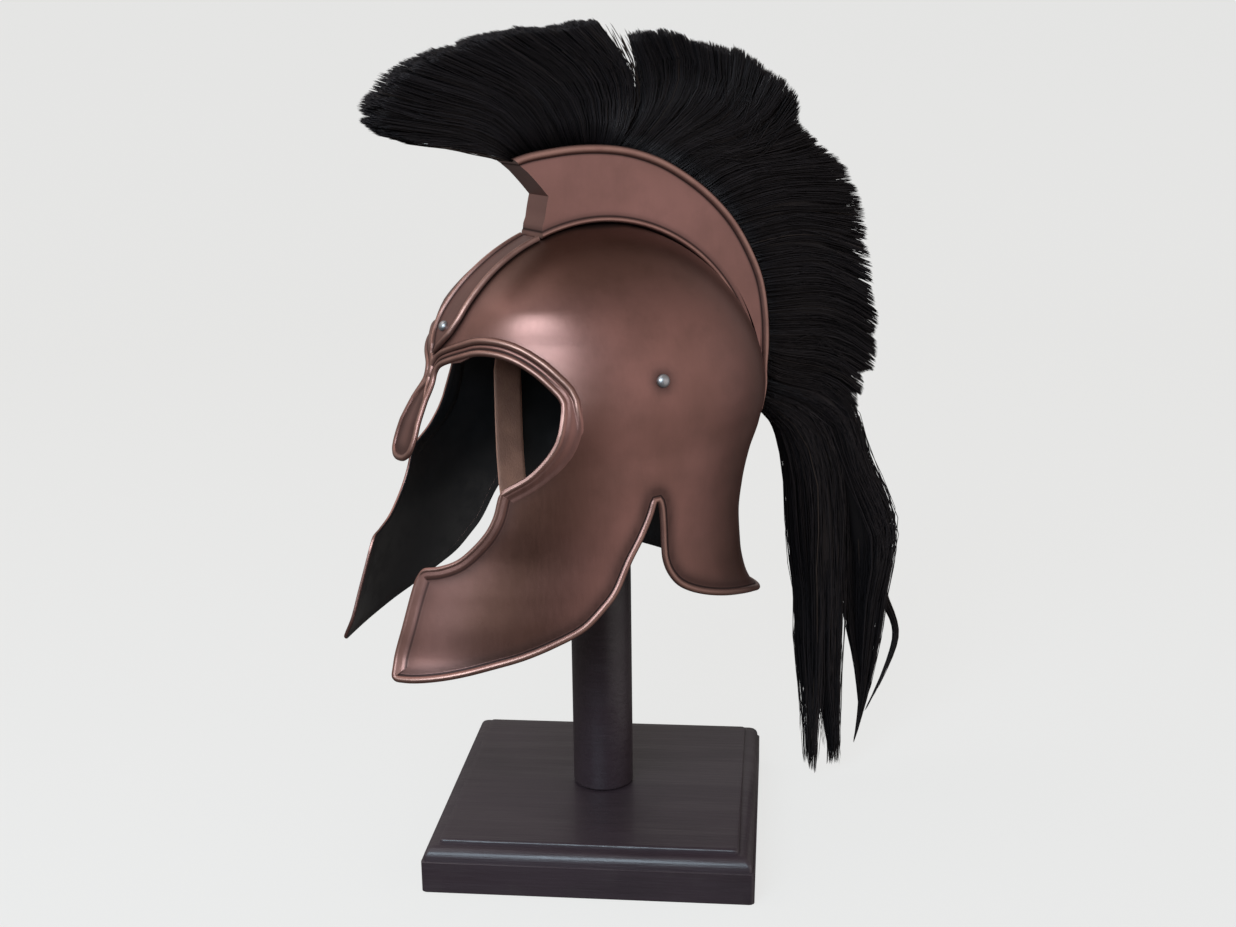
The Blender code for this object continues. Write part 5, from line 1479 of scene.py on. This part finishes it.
def brush(name, rows, notch, count, thickness, seed, hanging):
    """Strands of one stretch of the brush, their tips gathered in round tufts.

    notch is the end (0 or 1) at the notch, where pale strands stand between the sides.
    hanging is the number of loose pale strands under the first end.
    """
    rng = np.random.default_rng(seed)
    length = tip_places(rows)[-1]
    half = 0.5 * PLUME_THICKNESS
    tufts = int(1.4 * length * PLUME_THICKNESS / TUFT_SIZE ** 2)
    tuft_place, tuft_side = rng.uniform(0.0, length, tufts), rng.uniform(-1.0, 1.0, tufts)
    place, side = rng.uniform(0.0, length, count), rng.uniform(-1.0, 1.0, count)
    away = np.hypot(place[:, None] - tuft_place[None], (side[:, None] - tuft_side[None]) * half)
    owner = away.argmin(axis=1)
    near = np.clip(away.min(axis=1) / TUFT_SIZE, 0.0, 1.2)

    def spread(of_tufts, of_strands):
        """Random amounts, partly shared by the strands of a tuft."""
        return rng.normal(0.0, of_tufts, tufts)[owner] + rng.normal(0.0, of_strands, count)

    flow = flow_at(rows, place)
    flow[2:] = flow_at(rows, place + TUFT_PULL * (tuft_place[owner] - place))[2:]
    beside = near_notch(place, length, notch)
    flow[1] += spread(*ROOT_SPREAD)
    flow[4] += spread(*TIP_SPREAD)
    further = spread(*END_SPREAD) + TIP_RISE - TUFT_ROUNDING * near ** 2 - SIDE_ROUNDING * np.abs(side) ** 3
    short = rng.random(count) < SHORT_SHARE
    further = np.where(short, further - SHORTEST * rng.random(count) ** 1.5, further)
    loose = rng.random(count) < LOOSE_SHARE
    further += LOOSE_REACH * np.abs(rng.normal(0.0, 1.0, count)) * loose
    tone = shades(rng, tufts, owner, BROWN_SHARES[0])
    drop = np.zeros(count)
    if hanging:
        pale = slice(0, hanging)
        of_place, of_drop, of_end = HANGING_SPREAD
        flow[:, pale] = flow_at(rows, of_place * rng.random(hanging))
        drop[pale] = of_drop * rng.random(hanging) ** 1.5
        further[pale] = -of_end * rng.random(hanging)
        # Some of these reach the palest tone, partly painted highlight on frayed ends
        tone[pale] = rng.uniform(0.86, 1.0, hanging)
    if notch == 1:
        pale = slice(hanging, hanging + NOTCH_STRANDS)
        flow[:, pale] = flow_at(rows, np.full(NOTCH_STRANDS, length))
        flow[2, pale] += NOTCH_SPREAD[0] * rng.random(NOTCH_STRANDS)
        flow[4, pale] += NOTCH_SPREAD[1] * rng.random(NOTCH_STRANDS)
        beside[pale] = 1.0
        side[pale] *= NOTCH_SIDE
        further[pale] = -NOTCH_SHORTENING * rng.random(NOTCH_STRANDS)
        tone[pale] = PALE_TONE
    t = strand_steps(BRUSH_STEPS)
    flat = flow_paths(flow, t, further)
    at_root, on_way, at_tip = BRUSH_WIDTHS
    across = (1 - t) ** 2 * at_root + 2 * t * (1 - t) * on_way + t ** 2 * at_tip
    tip_side = side + TUFT_PULL * (tuft_side[owner] - side)
    aside = half * ((1 - t)[None] * side[:, None] + t[None] * tip_side[:, None]) * across[None]
    aside *= 1.0 - 0.30 * beside[:, None] * t[None]
    sway = SWAY * np.sin(rng.uniform(0.0, 2.0 * math.pi, (count, 1)) + 5.0 * t[None]) * t[None]
    paths = np.stack([aside + sway, flat[..., 0],
                      flat[..., 1] + 0.6 * sway - drop[:, None] * np.sin(math.pi * t)[None]], axis=2)
    width = thickness * rng.uniform(0.75, 1.25, count)
    width[:hanging] *= 0.7
    return hair_mesh(name, slant(paths, beside, t), width, tone, 0.85)


def brush_shade_core(name, rows, notch):
    """Dark body between the strands of one stretch of the brush, painted as the deep shade inside it."""
    length = tip_places(rows)[-1]
    place = np.linspace(0.015, 0.985, 44) * length
    beside = near_notch(place, length, notch)
    t = np.linspace(0.0, 0.93, CORE_STEPS)
    flat = flow_paths(flow_at(rows, place), t, -0.012 * beside)
    half = 0.5 * PLUME_THICKNESS * np.interp(t, (0.0, 0.3, 0.6, 0.93), (0.30, 0.42, 0.46, 0.30))
    half = half[None] * (1.0 - 0.35 * beside[:, None] * t[None])
    left, right = (slant(np.concatenate([aside[..., None], flat], axis=2), beside, t)
                   for aside in (half, -half))
    return painted_shade_body(loft(name, np.concatenate([left, right[:, ::-1]], axis=1)))


def painted_shade_body(core):
    """Smooth a core and give it the darkest hair tone, as painted deep shade."""
    core.data.shade_smooth()
    paint(core, shade=np.zeros(len(core.data.vertices)))
    return core


def lock_frame(lock, place):
    """Centre, direction across and both half widths of a tail lock at places along it."""
    line = smooth_path(lock, 6)
    t = np.linspace(0.0, 1.0, len(line))
    behind, below, aside, width = (np.interp(place, t, column) for column in line.T)
    centre = np.stack([aside * TAIL_LENGTH, CROWN_Y + behind * TAIL_LENGTH,
                       BOWL_LEVEL - below * TAIL_LENGTH], axis=-1)
    across = unit(np.cross(unit(np.gradient(centre, axis=-2)), (1.0, 0.0, 0.0)))
    return centre, across, 0.5 * TAIL_LOCK_WIDTH * width, 0.5 * TAIL_THICKNESS * np.minimum(width, 0.9)


def lock_strands(rng, lock, count, clump, tips, loose):
    """Paths and tones of the strands of one tail lock, in wavy clumps that part at the end."""
    clumps = max(5, count // clump)
    radius, turn = np.sqrt(rng.random(clumps)), rng.uniform(0.0, 2.0 * math.pi, clumps)
    u, v = 0.88 * radius * np.cos(turn), 0.85 * radius * np.sin(turn)
    nearest = np.array(tips)[np.abs(u[:, None] - np.array(tips)[None]).argmin(axis=1)]
    end = 1.0 - 0.12 * rng.random(clumps) ** 1.3
    phase, rate = rng.uniform(0.0, 2.0 * math.pi, (2, clumps)), rng.uniform(4.0, 10.0, (2, clumps))
    swing = 0.05 + 0.17 * rng.random(clumps)
    owner = rng.integers(0, clumps, count)
    begin = 0.08 * rng.random(count) ** 2
    stop = np.clip(end[owner] - 0.34 * rng.random(count) ** 1.6, 0.35, 1.0)
    place = begin[:, None] + (stop - begin)[:, None] * strand_steps(TAIL_STEPS)[None]
    centre, across, half, thick = lock_frame(lock, place)
    u, v, nearest, end, swing = (each[owner][:, None] for each in (u, v, nearest, end, swing))
    gather = 1.0 - 0.60 * (place / end) ** 2.5
    own_u, own_v = rng.normal(0.0, loose, (2, count, 1)) * gather
    parted, grow = ramp(place, 0.66, 0.92), ramp(place, 0.05, 0.5)
    wave_u, wave_v = np.sin(phase[:, owner, None] + rate[:, owner, None] * place)
    own_wave = 0.035 * np.sin(rng.uniform(0.0, 6.3, (count, 1)) + rng.uniform(8.0, 14.0, (count, 1)) * place)
    swing_u = np.clip(1.15 - np.abs(u), 0.25, 1.0) * swing * wave_u * grow * (1.0 - 0.5 * parted)
    base_u = u + (nearest - u) * 0.80 * parted
    aside = np.clip(base_u + own_u + swing_u + own_wave * grow, -0.97, 0.97)
    strand = centre + across * (half * aside)[..., None]
    strand[..., 0] += thick * (v * (1.0 - 0.65 * parted) + own_v + swing * wave_v * grow)
    return strand, shades(rng, clumps, owner, BROWN_SHARES[1])


def tail_strands(name, count, thickness, seed):
    """Strands of the hanging tail, along its locks."""
    rng = np.random.default_rng(seed)
    locks = [lock_strands(rng, lock, int(count * share), *clump)
             for lock, (share, *clump) in zip(TAIL_LOCKS, TAIL_CLUMPS)]
    paths, tones = (np.concatenate(each) for each in zip(*locks))
    paths[..., 2] = np.maximum(paths[..., 2], 0.004)
    return hair_mesh(name, paths, thickness * rng.uniform(0.8, 1.35, len(paths)), tones, 0.55)


def tail_shade_core(name, lock):
    """Dark body between the strands of one tail lock, in its upper part, painted as the deep shade inside it.
    """
    centre, across, half, thick = lock_frame(lock, np.linspace(0.02, 0.58, CORE_STEPS))
    slim = np.interp(np.linspace(0.0, 1.0, CORE_STEPS), (0.0, 0.8, 1.0), (0.80, 0.66, 0.25))[:, None]
    turn = np.linspace(0.0, 2.0 * math.pi, 17)[:-1]
    rings = centre[:, None] + across[:, None] * (slim * half[:, None] * np.cos(turn))[..., None]
    rings[..., 0] += slim * thick[:, None] * np.sin(turn)
    return painted_shade_body(loft(name, rings))


# Stand. The base's moulding: inset as a share of its width, rise as a share of its
# height, and wear
BASE_PROFILE = ((0.0, 0.0, 0.6), (0.04, 0.03, 0.6), (0.12, 0.04, 0.2), (0.13, 0.1, 0.0), (0.135, 0.22, 0.1),
    (0.17, 0.38, 0.2), (0.24, 0.51, 0.2), (0.34, 0.62, 0.2), (0.47, 0.7, 0.2), (0.62, 0.75, 0.1),
    (0.8, 0.77, 0.0), (0.93, 0.78, 0.0), (0.97, 0.8, 0.0), (0.98, 0.92, 0.0), (1.02, 0.98, 0.0),
    (1.08, 1.0, 0.0), (1.3, 1.0, 0.0))
BASE_FOOT = 0.0008
CORNER_STEPS = 6


def rounded_square(half, height):
    """Points of a square with rounded corners at a height, with plain points between."""
    ring = []
    for corner in range(4):
        turn = 0.5 * math.pi * corner
        centre = Matrix.Rotation(turn, 3, "Z") @ Vector((half - BASE_CORNER, half - BASE_CORNER, height))
        for step in range(CORNER_STEPS + 1):
            angle = turn + 0.5 * math.pi * step / CORNER_STEPS
            ring.append(centre + BASE_CORNER * Vector((math.cos(angle), math.sin(angle), 0.0)))
    return [tuple(Matrix.Rotation(BASE_TURN, 3, "Z") @ point) for point in ring]


def make_base_piece():
    """Square board with a round moulding between two small steps."""
    rows = [(0.5 * BASE_SIDE - BASE_FOOT, 0.0, 0.6), (0.5 * BASE_SIDE, BASE_FOOT, 0.6)]
    rows += [(0.5 * BASE_SIDE - inset * BASE_MOULDING,
              BASE_EDGE_HEIGHT + lift * (BASE_THICKNESS - BASE_EDGE_HEIGHT), wear)
             for inset, lift, wear in BASE_PROFILE]
    rings = np.array([rounded_square(half, height) for half, height, _ in rows])
    worn = np.repeat([[wear] for _, _, wear in rows], rings.shape[1], axis=1)
    return smooth(loft("stand_base_dressed", rings, worn=worn), 40.0)


# Crown of the post: distances from its axis, and how far it drops there
POST_CROWN = (0.0, 0.015, 0.0202, 0.023)
POST_DROPS = (0.0, 0.0013, 0.0027, 0.0047)
POST_BEVEL = 0.0022
POST_INSET = 0.0065


def make_post_piece():
    """Round post with a softened foot and a low crowned top inside the helmet."""
    low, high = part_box("stand_post")
    deselect()
    bpy.ops.mesh.primitive_cylinder_add(vertices=96, radius=0.5 * POST_DIAMETER, depth=high.z - low.z,
                                        location=(0.0, 0.0, 0.5 * (low.z + high.z)))
    post = named(bpy.context.object, "stand_post_dressed")
    bpy.ops.object.transform_apply(location=True, rotation=True, scale=True)
    apply(post, "BEVEL", width=POST_BEVEL, segments=4, limit_method="ANGLE", angle_limit=math.radians(60))
    bm = bmesh.new()
    bm.from_mesh(post.data)
    top = max(bm.faces, key=lambda face: face.calc_center_median().z)
    for _ in range(2):
        bmesh.ops.inset_region(bm, faces=[top], thickness=POST_INSET)
    for vertex in bm.verts:
        if vertex.co.z > high.z - 0.01:
            vertex.co.z -= float(np.interp(vertex.co.xy.length, POST_CROWN, POST_DROPS))
    bm.to_mesh(post.data)
    bm.free()
    return smooth(post, 50.0)


# Stage. The world's lights: side, how closely the view points there where it starts and
# is full, and the strength there. The dark side dims instead.
PANEL = ((0.87, 0.49, -0.08), 0.60, 0.96, 0.0, 0.52)
DARK = ((0.90, -0.43, -0.06), 0.80, 0.97, 1.0, 0.30)
FRONT = ((-0.45, -0.75, 0.48), 0.70, 0.97, 0.0, 0.35)
LEVEL = (-0.30, 0.5, 0.11, 0.40)
WORLD_COLOUR = (1.0, 0.95, 0.92, 1.0)

# Soft lights: place, size, power, colour and shape
LIGHTS = {
    "key": ((1.14, -1.32, 1.24), (1.55, 1.05), 36.0, (0.82, 1.04, 1.20), "ELLIPSE"),
    "right_box": ((2.05, 0.62, 0.62), (1.1, 1.4), 1.8, (1.0, 0.97, 1.08), "RECTANGLE"),
    "rear_box": ((1.25, 1.90, 0.45), (1.7, 1.5), 2.6, (1.0, 0.97, 1.08), "RECTANGLE"),
    "overhead": ((-0.6, -0.8, 2.3), (1.7, 1.7), 11.0, (1.0, 0.95, 0.95), "RECTANGLE"),
}
LIT_POINT = Vector((0.0, 0.0, 0.33))

# Radius and height of the floor and the wall that it curves up into
FLOOR_PROFILE = ((0.0, 0.0), (1.2, 0.0), (2.4, 0.0), (2.9, 0.05), (3.3, 0.25), (3.55, 0.6), (3.65, 1.2),
    (3.65, 3.2))
FLOOR_STEPS = 97


def area_light(name, place, size, power, colour, shape):
    """A soft area light aimed at the middle of the object."""
    light = bpy.data.lights.new(name, "AREA")
    light.shape, light.energy, light.color = shape, power, colour
    light.size, light.size_y = size
    lamp = placed(name, light)
    lamp.location = place
    lamp.rotation_euler = (LIT_POINT - Vector(place)).to_track_quat("-Z", "Y").to_euler()


def make_camera():
    """The camera that sees the object as the photograph does."""
    camera = bpy.data.cameras.new("camera")
    camera.lens, camera.sensor_width, camera.clip_start = CAMERA_LENS, CAMERA_SENSOR, 0.01
    eye = placed("camera", camera)
    place = Matrix((CAMERA_RIGHT, CAMERA_UP, -Vector(CAMERA_AHEAD))).transposed().to_4x4()
    place.translation = CAMERA_PLACE
    eye.matrix_world = place
    bpy.context.scene.camera = eye


def make_floor(colour):
    """A round pale floor that curves up into a wall, seen by the camera alone."""
    turn = np.linspace(0.0, 2.0 * math.pi, FLOOR_STEPS)
    points = np.array([np.stack([radius * np.cos(turn), radius * np.sin(turn), height + 0.0 * turn], axis=1)
                       for radius, height in FLOOR_PROFILE])
    floor = edit(reshaped_grid("pale_floor", points), (bpy.ops.mesh.remove_doubles, {"threshold": 0.0001}),
                 (bpy.ops.mesh.normals_make_consistent, {"inside": True}))
    floor.data.shade_smooth()
    floor.data.materials.append(floor_surface("pale_floor", colour))
    floor.visible_diffuse = floor.visible_glossy = floor.visible_shadow = False


def make_world():
    """A dim studio: darker near the ground and around the camera, lighter on the right."""
    scene = bpy.context.scene
    scene.world = scene.world or bpy.data.worlds.new("dim_studio")
    scene.world.use_nodes = True
    nodes = Nodes(scene.world.node_tree)
    ahead = nodes.add("TexCoord").outputs["Generated"]
    level = nodes.spread(nodes.add("SeparateXYZ", {0: ahead}).outputs["Z"], *LEVEL)
    panel, dark, front = (
        nodes.spread(nodes.add("VectorMath", {0: ahead, 1: Vector(side).normalized()},
                               operation="DOT_PRODUCT").outputs["Value"], *reach)
        for side, *reach in (PANEL, DARK, FRONT))
    light = nodes.math("MULTIPLY_ADD", nodes.math("ADD", level, panel), dark, front)
    sky = nodes.tree.nodes["Background"]
    nodes.feed(sky.inputs["Color"], WORLD_COLOUR)
    nodes.feed(sky.inputs["Strength"], light)


# Add-on


def tone(name, description, default):
    """A colour that the panel offers."""
    return bpy.props.FloatVectorProperty(name=name, description=description, default=default,
                                         min=0.0, max=1.0, subtype="COLOR", size=3)


class HelmetSizes(bpy.types.PropertyGroup):
    """Sizes of the dressed pieces."""

    rim_height: bpy.props.FloatProperty(
        name="Rim height", description="Height of the rolled rims, as a share of the real one",
        default=1.0, min=0.2, max=1.4)
    strand_width: bpy.props.FloatProperty(
        name="Strand width", description="Width of one strand of hair at its middle",
        default=0.00066, min=0.0002, max=0.002, precision=5, unit="LENGTH", subtype="DISTANCE")
    brush_strands: bpy.props.IntProperty(
        name="Brush strands", description="Strands in each stretch of the brush",
        default=4700, min=200, max=4800)
    tail_strands: bpy.props.IntProperty(
        name="Tail strands", description="Strands in the hanging tail",
        default=2950, min=200, max=3000)


class HelmetColours(bpy.types.PropertyGroup):
    """Colours of the dressed pieces."""

    copper: tone("Copper", "Light tone of the copper-brown plating", (0.232, 0.103, 0.084))
    copper_deep: tone("Deep copper", "Dark tone of the copper-brown plating", (0.158, 0.068, 0.050))
    worn: tone("Worn copper", "Colour where the plating is rubbed bright", (0.33, 0.185, 0.145))
    crest: tone("Crest", "Light tone of the crest's plating", (0.270, 0.126, 0.106))
    crest_deep: tone("Deep crest", "Dark tone of the crest's plating", (0.215, 0.098, 0.078))
    leather: tone("Leather", "Colour of the chin strap", (0.360, 0.166, 0.110))
    hair: tone("Hair", "Colour of the horse hair", (0.0120, 0.0105, 0.0120))
    wood: tone("Wood", "Colour of the painted stand", (0.0210, 0.0130, 0.0160))
    floor: tone("Floor", "Colour of the floor", (0.80, 0.80, 0.79))


def shell_surfaces():
    """Plating outside and black paint inside, each made once."""
    tones = bpy.context.scene.helmet_colours
    return (once("copper_plating", copper_surface, tones.copper, tones.copper_deep, tones.worn),
            once("inside_black_paint", inside_surface))


class HELMET_OT_shell(bpy.types.Operator):
    """Make the shell with its rims"""

    bl_idname = "helmet.shell"
    bl_label = "Shell"

    def execute(self, context):
        skin = make_skin()
        paint_skin(skin)
        shade_by_surface(skin)
        shell = join([skin, *make_rims(context.scene.helmet_sizes.rim_height)], "helmet_shell_dressed")
        round_corners(shell)
        finish(shell, None, "copper_shell", "helmet_shell")
        return {"FINISHED"}


class HELMET_OT_crest(bpy.types.Operator):
    """Make the crest box"""

    bl_idname = "helmet.crest"
    bl_label = "Crest box"

    def execute(self, context):
        tones = context.scene.helmet_colours
        plating = copper_surface("crest_plating", tones.crest, tones.crest_deep, tones.worn)
        finish(smooth(make_crest_piece(), 40.0), plating, "copper_crest", "crest_box")
        return {"FINISHED"}


class HELMET_OT_brow_strip(bpy.types.Operator):
    """Make the strip down the forehead"""

    bl_idname = "helmet.brow_strip"
    bl_label = "Brow strip"

    def execute(self, context):
        finish(smooth(make_strip_piece(), 50.0), shell_surfaces()[0], "copper_shell", "brow_strip")
        return {"FINISHED"}


class HELMET_OT_rivets(bpy.types.Operator):
    """Make the brow rivet and the two side rivets"""

    bl_idname = "helmet.rivets"
    bl_label = "Rivets"

    def execute(self, context):
        brow, left = over_bowl(BROW_RIVET_ANGLE, [0.0])[0], on_side([SIDE_RIVET])[0]
        for node, point, sizes in (("brow_rivet", brow, BROW_RIVET), ("side_rivet_left", left, TEMPLE_RIVET),
                                   ("side_rivet_right", mirrored(left), TEMPLE_RIVET)):
            finish(rivet(node + "_dressed", point, *sizes), once("rivet_steel", steel_surface),
                   "rivet_steel", node)
        return {"FINISHED"}


class HELMET_OT_chin_strap(bpy.types.Operator):
    """Make the chin strap"""

    bl_idname = "helmet.chin_strap"
    bl_label = "Chin strap"

    def execute(self, context):
        leather = leather_surface("strap_leather", context.scene.helmet_colours.leather)
        finish(smooth(make_strap_piece(), 60.0), leather, "strap_leather", "chin_strap")
        return {"FINISHED"}


class HELMET_OT_brush(bpy.types.Operator):
    """Make the three stretches of the hair brush"""

    bl_idname = "helmet.brush"
    bl_label = "Hair brush"

    def execute(self, context):
        sizes = context.scene.helmet_sizes
        black = once("black_horse_hair", hair_surface, context.scene.helmet_colours.hair)
        for node, rows, notch, *rest in (("plume_front", FRONT_FLOW, 1, 31, HANGING_STRANDS),
                                         ("plume_top", TOP_FLOW, 0, 32, 0),
                                         ("plume_back", BACK_FLOW, None, 33, 0)):
            hair = brush(node + "_strands", rows, notch, sizes.brush_strands, sizes.strand_width, *rest)
            piece = join([hair, brush_shade_core(node + "_core", rows, notch)], node + "_dressed")
            finish(piece, black, "black_hair", node)
        return {"FINISHED"}


class HELMET_OT_tail(bpy.types.Operator):
    """Make the hanging tail of hair"""

    bl_idname = "helmet.tail"
    bl_label = "Hair tail"

    def execute(self, context):
        sizes = context.scene.helmet_sizes
        hair = tail_strands("plume_tail_strands", sizes.tail_strands, sizes.strand_width, 77)
        cores = [tail_shade_core(f"plume_tail_core_{i + 1}", lock) for i, lock in enumerate(TAIL_LOCKS[:2])]
        black = once("black_horse_hair", hair_surface, context.scene.helmet_colours.hair)
        finish(join([hair, *cores], "plume_tail_dressed"), black, "black_hair", "plume_tail")
        return {"FINISHED"}


class HELMET_OT_stand(bpy.types.Operator):
    """Make the post and the base"""

    bl_idname = "helmet.stand"
    bl_label = "Stand"

    def execute(self, context):
        black = once("black_painted_wood", wood_surface, context.scene.helmet_colours.wood)
        finish(make_base_piece(), black, "stand_wood", "stand_base")
        finish(make_post_piece(), black, "stand_wood", "stand_post")
        return {"FINISHED"}


class HELMET_OT_stage(bpy.types.Operator):
    """Set up the floor, the lights and the camera"""

    bl_idname = "helmet.stage"
    bl_label = "Stage"

    def execute(self, context):
        context.scene.view_settings.view_transform = "Standard"
        make_floor(context.scene.helmet_colours.floor)
        make_camera()
        for name, settings in LIGHTS.items():
            area_light(name, *settings)
        make_world()
        return {"FINISHED"}


class HELMET_PT_pieces(bpy.types.Panel):
    """Lists the pieces of the helmet"""

    bl_label = "Greek crested helmet"
    bl_idname = "HELMET_PT_pieces"
    bl_space_type = "VIEW_3D"
    bl_region_type = "UI"
    bl_category = "Helmet"

    def draw(self, context):
        column = self.layout.column()
        for group in (context.scene.helmet_sizes, context.scene.helmet_colours):
            for name in group.__annotations__:
                column.prop(group, name)
        for operator in OPERATORS:
            column.operator(operator.bl_idname)


OPERATORS = (HELMET_OT_shell, HELMET_OT_crest, HELMET_OT_brow_strip, HELMET_OT_rivets,
             HELMET_OT_chin_strap, HELMET_OT_brush, HELMET_OT_tail, HELMET_OT_stand, HELMET_OT_stage)
CLASSES = (HelmetSizes, HelmetColours, *OPERATORS, HELMET_PT_pieces)


def register():
    """Register the add-on's classes and properties."""
    for each in CLASSES:
        bpy.utils.register_class(each)
    bpy.types.Scene.helmet_sizes = bpy.props.PointerProperty(type=HelmetSizes)
    bpy.types.Scene.helmet_colours = bpy.props.PointerProperty(type=HelmetColours)


def unregister():
    """Remove the add-on's classes and properties."""
    del bpy.types.Scene.helmet_colours
    del bpy.types.Scene.helmet_sizes
    for each in reversed(CLASSES):
        bpy.utils.unregister_class(each)


def main():
    """Make every piece and the stage."""
    register()
    make = bpy.ops.helmet
    for operator in (make.shell, make.crest, make.brow_strip, make.rivets, make.chin_strap,
                     make.brush, make.tail, make.stand, make.stage):
        operator()
    deselect()


if __name__ == "__main__":
    main()
